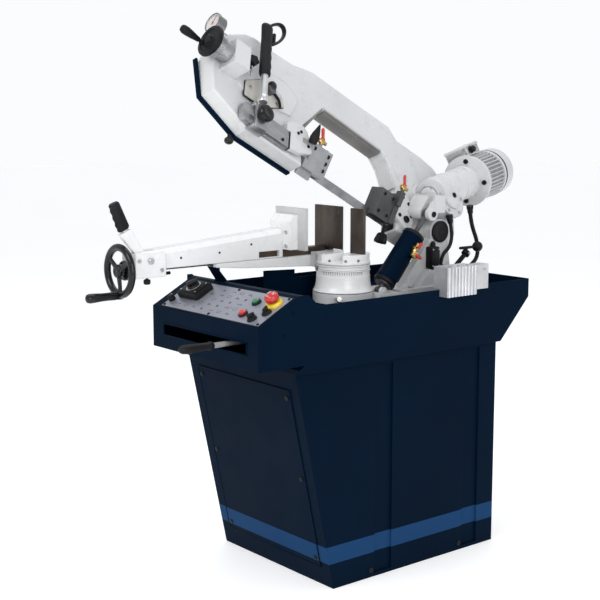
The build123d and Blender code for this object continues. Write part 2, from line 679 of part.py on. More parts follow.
def cover_knob():
    x, t = -853, -33.2
    return bow_rod((x, t, -28), (x, t - 10, -28), 6) + bow_rod((x, t - 8, -28), (x, t - 26, -28), 13)


def band_blade():
    half = BLADE_W / 2
    guided = line_block(-600, -165, -half, half, -BLADE_T / 2, BLADE_T / 2)
    loop = band_part(WHEEL_R + BLADE_T) - band_part(WHEEL_R)
    loop -= bow_block(FRONT_C, REAR_C, -20, 20, -30, 30)
    front = twist_span(FRONT_C, -600, True)
    rear = twist_span(-165, REAR_C, False)
    return loop + front + guided + rear


def band_part(radius):
    half = BLADE_W / 2
    body = bow_rod((FRONT_C, WHEEL_T, -half), (FRONT_C, WHEEL_T, half), radius)
    body += bow_rod((REAR_C, WHEEL_T, -half), (REAR_C, WHEEL_T, half), radius)
    return body + bow_block(FRONT_C, REAR_C, WHEEL_T - radius, WHEEL_T + radius, -half, half)


def twist_span(start, end, wheel_first):
    faces = []
    steps = 6
    for step in range(steps + 1):
        share = step / steps
        turn = (share if wheel_first else 1 - share) ** 1.5
        along = start + (end - start) * share
        middle = FOOT + REARWARD * along - NORMAL * (BLADE_T / 2 * (1 - turn))
        place = Plane(origin=middle, x_dir=ACROSS, z_dir=REARWARD)
        faces.append(place * (Rot(0, 0, BAND_TURN * turn) * Rectangle(BLADE_W, BLADE_T)))
    return loft(faces, ruled=True)


def band_wheel(center):
    half = WHEEL_W / 2
    rim = bow_rod((center, WHEEL_T, -half), (center, WHEEL_T, half), WHEEL_R - 0.2)
    rim -= bow_rod((center, WHEEL_T, -half - 1), (center, WHEEL_T, half + 1), WHEEL_R - 16)
    web = bow_rod((center, WHEEL_T, -4), (center, WHEEL_T, 4), WHEEL_R - 15)
    for turn in range(5):
        angle = radians(72 * turn)
        spot = (center + 80 * cos(angle), WHEEL_T + 80 * sin(angle))
        web -= bow_rod((*spot, -20), (*spot, 20), 24)
    hub = bow_rod((center, WHEEL_T, -half), (center, WHEEL_T, half), 34)
    axle = bow_rod((center, WHEEL_T, -half), (center, WHEEL_T, 60), 15)
    return rim + web + hub + axle


def gearbox():
    body = bow_rod((REAR_C, WHEEL_T, WEB_OUT), (REAR_C, WHEEL_T, 50), 88)
    body += bow_rod((REAR_C, WHEEL_T, 50), (REAR_C, WHEEL_T, 132), 72)
    body += bow_rod((REAR_C, WHEEL_T, 132), (REAR_C, WHEEL_T, 142), 40, 34)
    worm = rod((0, 0, -70), (0, 0, 196), 56)
    worm += rod((0, 0, -84), (0, 0, -70), 38)
    worm += rod((0, 0, 196), (0, 0, 212), 88)
    worm -= rod((0, 0, 150), (0, 0, 213), 40)
    body += BOW.location * (MOTOR_AXIS.location * worm)
    body -= bow_rod((REAR_C, WHEEL_T, 10), (REAR_C, WHEEL_T, 62), 15 + RUN)
    body -= rod((-30, PIVOT_Y, PIVOT_Z), (90, PIVOT_Y, PIVOT_Z), 46)
    return body - bow_block(-300, 300, -300, 500, -100, WEB_OUT)


def motor_place(shape):
    return BOW.location * (MOTOR_AXIS.location * shape)


def motor_body():
    body = rod((0, 0, 212.2), (0, 0, 226), 84) + rod((0, 0, 226), (0, 0, 352), 74)
    for step in range(36):
        body += Rot(0, 0, 10 * step) * block(70, 82, -1.6, 1.6, 226, 352)
    body += rod((0, 0, 150), (0, 0, 213), 14)
    return motor_place(body)


def fan_cover():
    cover = rod((0, 0, 360), (0, 0, 408), 83) + rod((0, 0, 408), (0, 0, 418), 83, 74)
    cover -= rod((0, 0, 355), (0, 0, 410), 79)
    for ring in (22, 40, 58):
        for step in range(12):
            hole = rod((ring, 0, 405), (ring, 0, 425), 4)
            cover -= Rot(0, 0, 30 * step) * hole
    cover += rod((0, 0, 352.2), (0, 0, 361), 82) - rod((0, 0, 350), (0, 0, 362), 62)
    return motor_place(cover)


def terminal_box():
    """Its base stands forward and up from the motor's barrel."""
    box = block(-52, 36, -118, -78, 222, 312)
    box -= rod((0, 0, 200), (0, 0, 360), 84.3)
    return motor_place(box)


# ---- pieces on the bow's near face


def tension_housing():
    body = bow_rod((-966.2, TENSION_T, TENSION_W), (-1003, TENSION_T, TENSION_W), 31)
    body += bow_rod((-1003, TENSION_T, TENSION_W), (-1024, TENSION_T, TENSION_W), 38)
    body += bow_block(-1020, -985, TENSION_T, 206, TENSION_W - 12, TENSION_W + 12)
    return body - bow_rod((-950, TENSION_T, TENSION_W), (-1030, TENSION_T, TENSION_W), 9)


def tension_screw():
    return bow_rod((-880, TENSION_T, TENSION_W), (-1046, TENSION_T, TENSION_W), 8.9)


def tension_handwheel():
    disc = bow_rod((-1028, TENSION_T, TENSION_W), (-1040, TENSION_T, TENSION_W), 49, 47)
    disc += bow_rod((-1040, TENSION_T, TENSION_W), (-1050, TENSION_T, TENSION_W), 44, 30)
    disc -= bow_rod((-1020, TENSION_T, TENSION_W), (-1046, TENSION_T, TENSION_W), 8.9)
    base, w = TENSION_T + 10, TENSION_W - 32
    return disc + bow_rod((-1036, base, w), (-1052, base, w), 9, 8)


def tension_handle():
    base, w = TENSION_T + 10, TENSION_W - 32
    handle = bow_rod((-1052.4, base, w), (-1100, base, w), 8, 12)
    return handle + bow_rod((-1100, base, w), (-1122, base, w), 12, 11)


def tension_gauge():
    t, w = 240.0, 48.0
    case = bow_rod((-992, t, w), (-1026, t, w), 33)
    case -= bow_rod((-1022, t, w), (-1027, t, w), 29)
    return case + bow_rod((-1006, 206, TENSION_W - 6), (-1006, 212, TENSION_W - 6), 7)


def carriage_plate():
    plate = bow_prism(((-872, 74), (-790, 74), (-705, 128), (-716, 164), (-800, 176), (-872, 128)), 36.2, 41)
    return plate - bow_rod((FRONT_C, WHEEL_T, 30), (FRONT_C, WHEEL_T, 45), 16)


def guide_bar():
    bar = bow_block(-884, -686, BAR_T0, BAR_T1, BAR_W0, BAR_W1)
    bracket = ((-700, -20), (-700, 66), (-640, 100), (-612, 84), (-588, 30), (-588, 14), (-640, -14))
    bar += bow_prism(bracket, BAR_W0, BAR_W1)
    return bar


def guide_clamp():
    """Bridge that holds the sliding guide bar against the bow."""
    low, high = BAR_T0 - 12, BAR_T1 + 30
    body = bow_block(-846, -790, low, high, WEB_OUT, BAR_W1 + 14)
    return body - bow_block(-850, -780, BAR_T0 - 0.5, BAR_T1 + 0.5, BAR_W0 - 0.5, BAR_W1 + 0.5)


def bar_knob():
    knob = bow_rod((-818, 14, 70.3), (-818, 14, 76), 10) + bow_rod((-818, 14, 76), (-818, 14, 96), 27, 25)
    return knob


def front_guide():
    body = line_block(-598, -503, -8, 78, -11.5, 34)
    body -= line_block(-610, -490, -30, 15, -1.4, 1.4)
    body += line_block(-596, -540, -30, -8, 5, 12) + line_block(-596, -540, -30, 10, 12, 16)
    body += line_block(-630, -585, 20, 70, 12, 34)
    bridge = bow_block(-625, -588, 14, 70, WEB_OUT + 0.4, BAR_W0)
    body += bridge - line_block(-700, -480, -40, 15.2, -60, 60)
    body -= bow_block(-900, -599, -80, 140, -60, WEB_OUT + 0.4)
    body -= bow_block(-720, -587.9, -60, 110, BAR_W0, BAR_W1)
    return body + line_rod((FRONT_TAP[0], 70, FRONT_TAP[2]), (FRONT_TAP[0], FRONT_TAP[1], FRONT_TAP[2]), 6.5)


def rear_guide():
    body = line_block(-262, -190, -6, 88, -24, 30)
    body -= line_block(-270, -180, -40, 15, -1.4, 1.4)
    body += line_block(-191, -170, -2, 100, -20, 34)
    body -= line_block(-200, -160, -40, 15, -1.4, 1.4)
    body += line_block(-192, -174, 60, 110, 20, 44)
    body -= bow_prism(REAR_BRACKET, WEB_OUT - 1, 44)
    return body + line_rod((REAR_TAP[0], 100, REAR_TAP[2]), (REAR_TAP[0], REAR_TAP[1], REAR_TAP[2]), 6.5)


def rear_bracket():
    """White plate on the bow that carries the fixed blade guide."""
    return bow_prism(REAR_BRACKET, WEB_OUT - 1, 44)


def guide_knob():
    stem = line_rod((-180, -8, 12), (-176, -34, 12), 6)
    return stem + line_rod((-177, -30, 12), (-172, -62, 12), 17, 25)


def handle_tube():
    foot = bow_rod((-832, 46, 84), (-832, 68, 84), 13.5) + bow_rod((-832, 57, 70), (-832, 57, 84), 12)
    return bow_rod(HANDLE_FOOT, HANDLE_TOP, 11) + foot


def handle_grip():
    guard = bow_block(-838, -768, GRIP_HIGH - 64, GRIP_HIGH, 76, 92)
    guard -= bow_block(-822, -776, GRIP_HIGH - 56, GRIP_HIGH - 8, 70, 98)
    grip = guard + bow_rod((-834.8, GRIP_LOW, 84), (-840, GRIP_HIGH, 84), 19)
    grip -= bow_rod((-820, GRIP_HIGH - 32, 84), (-840, GRIP_HIGH - 32, 84), 4 + RUN)
    return grip - bow_rod(HANDLE_FOOT, HANDLE_TOP, 11)


def trigger():
    blade = bow_block(-814, -806, GRIP_HIGH - 52, GRIP_HIGH - 14, 79, 89)
    return blade + bow_rod((-810, GRIP_HIGH - 32, 84), (-824, GRIP_HIGH - 32, 84), 4)


def blade_guard_strip():
    """Grey sheet guard along the inside of the bow, under the band's upper run."""
    path = (
        (-152.4, 139.8), (-190.4, 214.8), (-228.2, 249.6), (-519, 245.6),
        (-519, 237.8), (-231, 241.8), (-197, 210), (-160, 137),
    )
    return bow_prism(path, -22, 26)


def tap_lever(spot):
    along, height, x = spot
    lever = line_rod((along, height + 0.4, x), (along, height + 6, x), 7)
    return lever + line_rod((along, height + 3.5, x), (along - 22, height + 16, x + 4), 4)


def downfeed_knob():
    x, y, z = on_cylinder(150)
    return rod((x + 46.4, y, z), (x + 51, y, z), 8) + rod((x + 51, y, z), (x + 64, y, z), 13, 11)


def head_cables():
    return group(tube_path(HOSE_A, 6), tube_path(HOSE_B, 7))


def with_parts(*makers):
    """Separate solids that share one node."""
    return group(*[make() for make in makers])


NODES = {
    "stand_cabinet": stand_cabinet,
    "front_service_panel": front_service_panel,
    "chip_tray": lambda: with_parts(chip_tray, bed_supports),
    "control_box": control_box,
    "control_plate": control_plate,
    "button_collars": lambda: with_parts(button_collars, switch_housing),
    "estop_collar": estop_collar,
    "coolant_tank": lambda: with_parts(coolant_tank, coolant_pump),
    "base_column": base_column,
    "vice_bed": vice_bed,
    "slide_rail": lambda: with_parts(slide_rail, vice_nut),
    "fixed_jaws": fixed_jaws,
    "rest_block": rest_block,
    "stop_button": lambda: push_button(STOP_BUTTON),
    "start_button": lambda: push_button(START_BUTTON),
    "selector_knob_a": lambda: selector_knob(SELECTOR_A),
    "selector_knob_b": lambda: selector_knob(SELECTOR_B),
    "estop_button": estop_button,
    "switch_knob": switch_knob,
    "small_knob": small_knob,
    "moving_jaw": moving_jaw,
    "moving_jaw_plate": moving_jaw_plate,
    "quick_clamp_lever": quick_clamp_lever,
    "quick_clamp_grip": quick_clamp_grip,
    "vice_screw": vice_screw,
    "vice_handwheel": lambda: with_parts(vice_handwheel, vice_collar),
    "handwheel_handle": handwheel_handle,
    "swivel_lock_lever": lambda: with_parts(swivel_lock_lever, lock_lever_grip),
    "swivel_arm": lambda: with_parts(swivel_arm, lower_pin),
    "pivot_shaft": lambda: with_parts(pivot_shaft, pivot_cap),
    "limit_switch": lambda: with_parts(limit_switch, cable_gland),
    "stop_rod": lambda: with_parts(stop_rod, stop_knob),
    "head_cables": head_cables,
    "cylinder_barrel": cylinder_barrel,
    "cylinder_cover": cylinder_cover,
    "cylinder_rod": cylinder_rod,
    "downfeed_knob": downfeed_knob,
    "bow_frame": lambda: with_parts(bow_frame, upper_pin, blade_guard_strip),
    "wheel_cover": wheel_cover,
    "cover_edge_strip": lambda: with_parts(cover_edge_strip, cover_knob),
    "band_blade": band_blade,
    "front_wheel": lambda: band_wheel(FRONT_C),
    "rear_wheel": lambda: band_wheel(REAR_C),
    "gearbox": gearbox,
    "motor_body": lambda: with_parts(motor_body, terminal_box),
    "fan_cover": fan_cover,
    "tension_housing": tension_housing,
    "tension_handwheel": lambda: with_parts(tension_handwheel, tension_screw, tension_handle),
    "tension_gauge": tension_gauge,
    "guide_bar": guide_bar,
    "guide_clamp": lambda: with_parts(guide_clamp, carriage_plate),
    "bar_knob": bar_knob,
    "front_guide": front_guide,
    "rear_guide": rear_guide,
    "guide_knob": guide_knob,
    "handle_tube": handle_tube,
    "handle_grip": handle_grip,
    "trigger": trigger,
    "front_tap_lever": lambda: tap_lever(FRONT_TAP),
    "rear_tap_lever": lambda: tap_lever(REAR_TAP),
}

for name, make in NODES.items():
    save(name, make())
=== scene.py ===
import bmesh
import bpy
import json
from math import atan2, cos, pi, radians, sin
from mathutils import Matrix, Vector


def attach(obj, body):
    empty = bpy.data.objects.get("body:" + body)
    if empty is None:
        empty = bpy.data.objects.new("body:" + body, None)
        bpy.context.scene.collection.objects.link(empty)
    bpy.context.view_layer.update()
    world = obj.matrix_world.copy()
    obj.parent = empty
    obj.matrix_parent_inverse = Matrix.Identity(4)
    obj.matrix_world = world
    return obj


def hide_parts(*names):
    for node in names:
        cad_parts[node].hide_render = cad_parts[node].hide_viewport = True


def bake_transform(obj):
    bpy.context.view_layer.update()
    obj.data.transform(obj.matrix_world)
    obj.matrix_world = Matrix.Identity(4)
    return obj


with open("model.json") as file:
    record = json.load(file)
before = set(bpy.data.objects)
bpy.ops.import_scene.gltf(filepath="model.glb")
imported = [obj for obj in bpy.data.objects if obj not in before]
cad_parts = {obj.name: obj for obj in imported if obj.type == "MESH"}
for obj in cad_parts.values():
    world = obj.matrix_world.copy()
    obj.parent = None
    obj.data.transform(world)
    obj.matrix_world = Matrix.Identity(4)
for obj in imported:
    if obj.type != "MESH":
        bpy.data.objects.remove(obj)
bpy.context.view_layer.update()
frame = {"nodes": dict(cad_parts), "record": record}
NODES = frame["nodes"]
JOINTS = {j["name"]: j for j in frame["record"]["behaviour"]["joints"]}

# ---- directions and frames shared with the CAD (local numbers in millimetres)
MM = 0.001
PITCH, LEAN, PANEL_SLOPE, PIVOT_DROP = radians(29), radians(27), radians(28), 58
RIGHT = Vector((1, 0, 0))
REARWARD = Vector((0, cos(PITCH), -sin(PITCH)))
NORMAL = Vector((0, sin(PITCH), cos(PITCH)))
ACROSS = RIGHT * cos(LEAN) + NORMAL * sin(LEAN)
UP = NORMAL * cos(LEAN) - RIGHT * sin(LEAN)
PIVOT = Vector(JOINTS["head_tilt"]["pos_m"])
FOOT = Vector((0, PIVOT.y, PIVOT.z)) - NORMAL * PIVOT_DROP * MM


def basis(origin, x, y, z):
    """Local millimetres to the row frame in metres."""
    m = Matrix((x, y, z)).transposed().to_4x4()
    m.translation = Vector(origin)
    return m @ Matrix.Diagonal((MM, MM, MM, 1))


WORLD = basis((0, 0, 0), RIGHT, Vector((0, 1, 0)), Vector((0, 0, 1)))
BOW = basis(FOOT, REARWARD, UP, ACROSS)
LINE = basis(FOOT, REARWARD, NORMAL, RIGHT)
PANEL_UP = Vector((0, -sin(PANEL_SLOPE), cos(PANEL_SLOPE)))
PANEL_EDGE, FRONT_EDGE = (0, -0.564, 0.830), (0, -0.271, 0)
PANEL = basis(PANEL_EDGE, RIGHT, PANEL_UP.cross(RIGHT), PANEL_UP)
FRONT_OUT = Vector((0, -678, -146)).normalized()
FRONT = basis(FRONT_EDGE, RIGHT, FRONT_OUT.cross(RIGHT), FRONT_OUT)
MOTOR_TILT = radians(40)
MOTOR = BOW @ Matrix(((0, sin(MOTOR_TILT), cos(MOTOR_TILT), 2), (0, -cos(MOTOR_TILT), sin(MOTOR_TILT), 178),
    (1, 0, 0, 96), (0, 0, 0, 1)))


def along(frame_matrix, start, axis):
    """A frame at start whose z runs along axis, both in frame_matrix's local millimetres."""
    z = Vector(axis).normalized()
    turn = z.to_track_quat("Z", "Y").to_matrix().to_4x4()
    return frame_matrix @ Matrix.Translation(Vector(start)) @ turn


def local(frame_matrix, start, axis):
    """The frame that along gives, seen from inside frame_matrix."""
    return frame_matrix.inverted() @ along(frame_matrix, start, axis)


def polar(radius, degrees):
    return radius * cos(radians(degrees)), radius * sin(radians(degrees))


def spin(degrees, axis="Z"):
    return Matrix.Rotation(radians(degrees), 4, axis)


# turns for flat outlines: TO_XZ stands them up facing -y, TO_YZ stands them up facing +x
TO_XZ = Matrix(((1, 0, 0, 0), (0, 0, -1, 0), (0, 1, 0, 0), (0, 0, 0, 1)))
TO_YZ = Matrix(((0, 0, 1, 0), (1, 0, 0, 0), (0, 1, 0, 0), (0, 0, 0, 1)))


# ---- materials
def link_noise(tree, scale, stretch=(1, 1, 1), detail=4.0, rough=0.55):
    coords = tree.nodes.new("ShaderNodeTexCoord")
    mapping = tree.nodes.new("ShaderNodeMapping")
    mapping.inputs["Scale"].default_value = stretch
    texture = tree.nodes.new("ShaderNodeTexNoise")
    texture.inputs["Scale"].default_value = scale
    texture.inputs["Detail"].default_value = detail
    texture.inputs["Roughness"].default_value = rough
    tree.links.new(coords.outputs["Object"], mapping.inputs["Vector"])
    tree.links.new(mapping.outputs["Vector"], texture.inputs["Vector"])
    return texture.outputs["Fac"]


def ramp(tree, value, stops):
    node = tree.nodes.new("ShaderNodeValToRGB")
    while len(node.color_ramp.elements) < len(stops):
        node.color_ramp.elements.new(0.5)
    for element, (place, color) in zip(node.color_ramp.elements, stops):
        element.position = place
        element.color = (*color, 1) if isinstance(color, tuple) else (color, color, color, 1)
    tree.links.new(value, node.inputs["Fac"])
    return node.outputs["Color"]


def mix(tree, share, a, b):
    node = tree.nodes.new("ShaderNodeMix")
    node.data_type = "RGBA"
    for socket, value in ((node.inputs[0], share), (node.inputs[6], a), (node.inputs[7], b)):
        if isinstance(value, bpy.types.NodeSocket):
            tree.links.new(value, socket)
        elif isinstance(value, tuple):
            socket.default_value = (*value, 1)
        else:
            socket.default_value = value
    return node.outputs[2]


def surface(name, dark, light, rough, metallic=0.0, scale=6.0, stretch=(1, 1, 1), grain=900.0,
        grain_depth=0.00004, edge=0.0015, coat=0.0, grime=None, specular=0.5):
    """Two-tone procedural finish: broad colour drift, varied roughness, fine grain and softened edges."""
    material = bpy.data.materials.new(name)
    material.use_nodes = True
    tree = material.node_tree
    shader = tree.nodes["Principled BSDF"]
    shader.inputs["Metallic"].default_value = metallic
    shader.inputs["Coat Weight"].default_value = coat
    shader.inputs["Coat Roughness"].default_value = 0.12
    shader.inputs["Specular IOR Level"].default_value = specular
    drift = link_noise(tree, scale, stretch)
    color = ramp(tree, drift, [(0.3, dark), (0.7, light)])
    if grime:
        spots = ramp(tree, link_noise(tree, scale * 7, stretch, 8, 0.7), [(0.55, 0.0), (0.8, 1.0)])
        color = mix(tree, spots, color, grime)
    tree.links.new(color, shader.inputs["Base Color"])
    smear = link_noise(tree, scale * 4, stretch, 6)
    tree.links.new(ramp(tree, smear, [(0.3, rough[0]), (0.75, rough[1])]), shader.inputs["Roughness"])
    bump = tree.nodes.new("ShaderNodeBump")
    bump.inputs["Strength"].default_value = 1.0
    bump.inputs["Distance"].default_value = grain_depth
    tree.links.new(link_noise(tree, grain, stretch, 3), bump.inputs["Height"])
    if edge:
        bevel = tree.nodes.new("ShaderNodeBevel")
        bevel.samples = 4
        bevel.inputs["Radius"].default_value = edge
        tree.links.new(bevel.outputs["Normal"], bump.inputs["Normal"])
    tree.links.new(bump.outputs["Normal"], shader.inputs["Normal"])
    return material


def add_band(material, low, high, color):
    """A painted band round the stand between two heights."""
    tree = material.node_tree
    shader = tree.nodes["Principled BSDF"]
    base = shader.inputs["Base Color"].links[0].from_socket
    place = tree.nodes.new("ShaderNodeTexCoord")
    split = tree.nodes.new("ShaderNodeSeparateXYZ")
    tree.links.new(place.outputs["Object"], split.inputs["Vector"])
    edges = []
    for kind, height in (("GREATER_THAN", low), ("LESS_THAN", high)):
        test = tree.nodes.new("ShaderNodeMath")
        test.operation = kind
        test.inputs[1].default_value = height
        tree.links.new(split.outputs["Z"], test.inputs[0])
        edges.append(test.outputs[0])
    both = tree.nodes.new("ShaderNodeMath")
    both.operation = "MULTIPLY"
    tree.links.new(edges[0], both.inputs[0])
    tree.links.new(edges[1], both.inputs[1])
    tree.links.new(mix(tree, both.outputs[0], base, color), shader.inputs["Base Color"])
    return material


def navy(name):
    return surface(name, (0.0006, 0.0056, 0.0155), (0.0009, 0.0074, 0.0205), (0.40, 0.54), scale=2.5,
        grain=1400, grain_depth=0.00005, edge=0.002, specular=0.02)


BAND_LOW, BAND_HIGH, BAND_BLUE = 0.079, 0.134, (0.010, 0.044, 0.120)
NAVY = navy("navy_powder_coat")
CABINET = add_band(navy("navy_cabinet"), BAND_LOW, BAND_HIGH, BAND_BLUE)
WHITE = surface("white_casting_paint", (0.74, 0.745, 0.75), (0.80, 0.805, 0.805), (0.22, 0.36), scale=3,
    grain=260, grain_depth=0.00025, edge=0.004, coat=0.15, grime=(0.70, 0.70, 0.695))
SHEET_WHITE = surface("white_sheet_paint", (0.76, 0.765, 0.77), (0.82, 0.825, 0.825), (0.20, 0.30), scale=3,
    grain=900, grain_depth=0.00004, edge=0.002, coat=0.1)
# painted shade: the saw head, motor, gearbox and guide bracket have the same white paint as the vice,
# darkened here as a shaded copy of it
SHADED_WHITE = surface("head_white_paint_painted_shade", (0.53, 0.537, 0.543), (0.60, 0.606, 0.61), (0.24, 0.38), scale=3,
    grain=240, grain_depth=0.0003, edge=0.004, coat=0.12, grime=(0.42, 0.42, 0.418))
RAIL = surface("brown_slide_steel", (0.050, 0.036, 0.028), (0.11, 0.080, 0.062), (0.35, 0.55), metallic=0.6,
    scale=14, grain=400, grain_depth=0.0001, edge=0.001)
GUARD = surface("guard_strip", (0.19, 0.185, 0.18), (0.28, 0.27, 0.26), (0.4, 0.55), metallic=0.4, scale=12,
    grain=500, grain_depth=0.0001, edge=0.0008)
GUIDE = surface("guide_steel", (0.055, 0.055, 0.058), (0.10, 0.10, 0.104), (0.32, 0.5), metallic=0.5,
    scale=12, grain=500, grain_depth=0.00015, edge=0.0012, grime=(0.03, 0.028, 0.026))
BAR = surface("guide_bar_steel", (0.30, 0.30, 0.31), (0.44, 0.44, 0.45), (0.28, 0.42), metallic=0.9,
    scale=9, stretch=(8, 1, 1), grain=500, grain_depth=0.00003, edge=0.001)
GREY = surface("grey_enamel", (0.22, 0.225, 0.235), (0.33, 0.335, 0.34), (0.28, 0.45), scale=14, grain=400,
    grain_depth=0.00015, edge=0.0015, grime=(0.15, 0.14, 0.13))
STEEL = surface("ground_steel", (0.46, 0.46, 0.47), (0.64, 0.64, 0.65), (0.22, 0.38), metallic=1.0,
    scale=20, stretch=(1, 1, 8), grain=600, grain_depth=0.00003, edge=0.0008)
BRIGHT = surface("satin_steel", (0.60, 0.60, 0.61), (0.74, 0.74, 0.75), (0.26, 0.40), metallic=0.85,
    scale=9, stretch=(8, 1, 1), grain=500, grain_depth=0.00003, edge=0.001)
BLADE = surface("band_steel", (0.20, 0.20, 0.21), (0.36, 0.36, 0.37), (0.25, 0.42), metallic=1.0, scale=18,
    stretch=(4, 1, 1), grain=700, grain_depth=0.00003, edge=0.0)
JAW = surface("oiled_jaw_steel", (0.035, 0.028, 0.024), (0.105, 0.085, 0.070), (0.30, 0.55), metallic=0.75,
    scale=16, stretch=(1.6, 1.6, 0.5), grain=340, grain_depth=0.0002, edge=0.001, grime=(0.16, 0.115, 0.08))
JAW_BRIGHT = surface("moving_jaw_steel", (0.50, 0.50, 0.50), (0.66, 0.66, 0.655), (0.30, 0.50),
    metallic=0.7, scale=14, grain=340, grain_depth=0.0001, edge=0.001)
BLACK = surface("black_moulding", (0.006, 0.006, 0.007), (0.013, 0.013, 0.014), (0.34, 0.50), scale=20,
    grain=1500, grain_depth=0.00006, edge=0.0012, specular=0.14)
GLOSS_BLACK = surface("black_gloss", (0.005, 0.005, 0.006), (0.010, 0.010, 0.011), (0.12, 0.22), scale=20,
    grain=900, grain_depth=0.00001, edge=0.001, coat=0.12, specular=0.25)
RUBBER = surface("black_cable_jacket", (0.007, 0.007, 0.007), (0.015, 0.015, 0.015), (0.42, 0.6), scale=30,
    grain=1200, grain_depth=0.00005, edge=0.0, specular=0.15)
CAST_IRON = surface("cast_iron", (0.10, 0.10, 0.105), (0.20, 0.20, 0.205), (0.4, 0.6), metallic=0.8,
    scale=18, grain=500, grain_depth=0.0002, edge=0.001)
ALUMINIUM = surface("cast_aluminium", (0.50, 0.505, 0.52), (0.66, 0.665, 0.68), (0.32, 0.48), metallic=0.8,
    scale=16, grain=420, grain_depth=0.00015, edge=0.001)
CHROME = surface("chrome", (0.22, 0.22, 0.225), (0.33, 0.33, 0.335), (0.06, 0.12), metallic=1.0, scale=12,
    grain=300, grain_depth=0.00001, edge=0.0008)
BRASS = surface("brass", (0.50, 0.33, 0.10), (0.68, 0.48, 0.18), (0.20, 0.34), metallic=1.0, scale=25,
    grain=700, grain_depth=0.00003, edge=0.0006)
RED = surface("red_plastic", (0.42, 0.012, 0.010), (0.56, 0.022, 0.016), (0.16, 0.28), scale=30, grain=900,
    grain_depth=0.00002, edge=0.001, coat=0.3)
GREEN = surface("green_plastic", (0.008, 0.13, 0.05), (0.015, 0.19, 0.075), (0.16, 0.28), scale=30,
    grain=900, grain_depth=0.00002, edge=0.001, coat=0.3)
YELLOW = surface("yellow_plastic", (0.60, 0.42, 0.02), (0.72, 0.52, 0.03), (0.25, 0.4), scale=30, grain=900,
    grain_depth=0.00002, edge=0.001)
FILM = surface("panel_film", (0.24, 0.25, 0.30), (0.31, 0.32, 0.37), (0.26, 0.4), scale=5, metallic=0.35,
    grain=1600, grain_depth=0.00003, edge=0.0008)
DIAL = surface("dial_white", (0.52, 0.50, 0.49), (0.60, 0.58, 0.57), (0.3, 0.4), scale=30, grain=900,
    grain_depth=0.00001, edge=0.0)
HOLE = surface("shadowed_recess", (0.006, 0.006, 0.007), (0.013, 0.013, 0.014), (0.6, 0.8), scale=30,
    grain=900, grain_depth=0.00005, edge=0.0)

FINISHES = {
    CABINET: ("stand_cabinet", "front_service_panel"),
    NAVY: ("chip_tray", "control_box", "limit_switch", "cylinder_cover"),
    WHITE: ("base_column", "vice_bed", "moving_jaw", "guide_clamp", "quick_clamp_lever"),
    SHADED_WHITE: ("swivel_arm", "bow_frame", "gearbox", "motor_body", "fan_cover"),
    SHEET_WHITE: ("wheel_cover",),
    GREY: ("coolant_tank", "front_guide"),
    STEEL: ("vice_screw", "pivot_shaft"),
    GUIDE: ("rear_guide", "cylinder_rod", "cylinder_barrel"),
    RAIL: ("slide_rail",),
    BRIGHT: ("guide_bar", "handle_tube", "tension_housing"),
    BLADE: ("band_blade",),
    JAW: ("fixed_jaws",),
    JAW_BRIGHT: ("moving_jaw_plate",),
    BLACK: ("button_collars", "selector_knob_a", "selector_knob_b", "switch_knob", "small_knob",
            "quick_clamp_grip", "vice_handwheel", "handwheel_handle", "cover_edge_strip", "tension_handwheel",
            "bar_knob", "guide_knob", "handle_grip", "trigger", "swivel_lock_lever", "stop_rod"),
    RUBBER: ("head_cables",),
    CAST_IRON: ("front_wheel", "rear_wheel"),
    ALUMINIUM: ("rest_block",),
    CHROME: ("tension_gauge",),
    BRASS: ("downfeed_knob", "front_tap_lever", "rear_tap_lever"),
    RED: ("stop_button", "estop_button"),
    GREEN: ("start_button",),
    YELLOW: ("estop_collar",),
    FILM: ("control_plate",),
}
for finish, names in FINISHES.items():
    for name in names:
        slots = NODES[name].data.materials
        slots.clear()
        slots.append(finish)


# ---- the slot that each look usually belongs to
USUAL_SLOT = {
    BLACK: "black_plastic", GLOSS_BLACK: "black_plastic", STEEL: "ground_steel", NAVY: "navy_paint",
    WHITE: "white_paint", SHADED_WHITE: "white_paint", GREY: "grey_paint", GUARD: "grey_paint",
    BAR: "bright_steel", BRIGHT: "bright_steel", BRASS: "brass", RED: "red_plastic",
}


# ---- mesh tools (every piece ends up in the row frame, in metres)
def piece(name, bm, place, body, material, slot=None, smooth=32, replaced=()):
    """Turns bm into one object that rides on body and takes the place of the replaced nodes."""
    slot = slot or USUAL_SLOT[material]
    bmesh.ops.remove_doubles(bm, verts=bm.verts, dist=1e-5)
    bmesh.ops.recalc_face_normals(bm, faces=bm.faces)
    mesh = bpy.data.meshes.new(name)
    bm.to_mesh(mesh)
    bm.free()
    mesh.transform(place)
    mesh.shade_smooth()
    mesh.set_sharp_from_angle(angle=radians(smooth))
    obj = bpy.data.objects.new(name, mesh)
    bpy.context.collection.objects.link(obj)
    mesh.materials.append(material)
    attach(obj, body)
    if replaced:
        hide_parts(*replaced)
    return obj


def bridge(bm, rings):
    """Joins neighbouring rings of equally many points."""
    for a, b in zip(rings, rings[1:]):
        for i in range(len(a)):
            j = (i + 1) % len(a)
            bm.faces.new((a[i], a[j], b[j], b[i]))


def loft(bm, rings):
    """A closed skin through rings of equally many points."""
    bridge(bm, rings)
    bm.faces.new(rings[0])
    bm.faces.new(rings[-1])


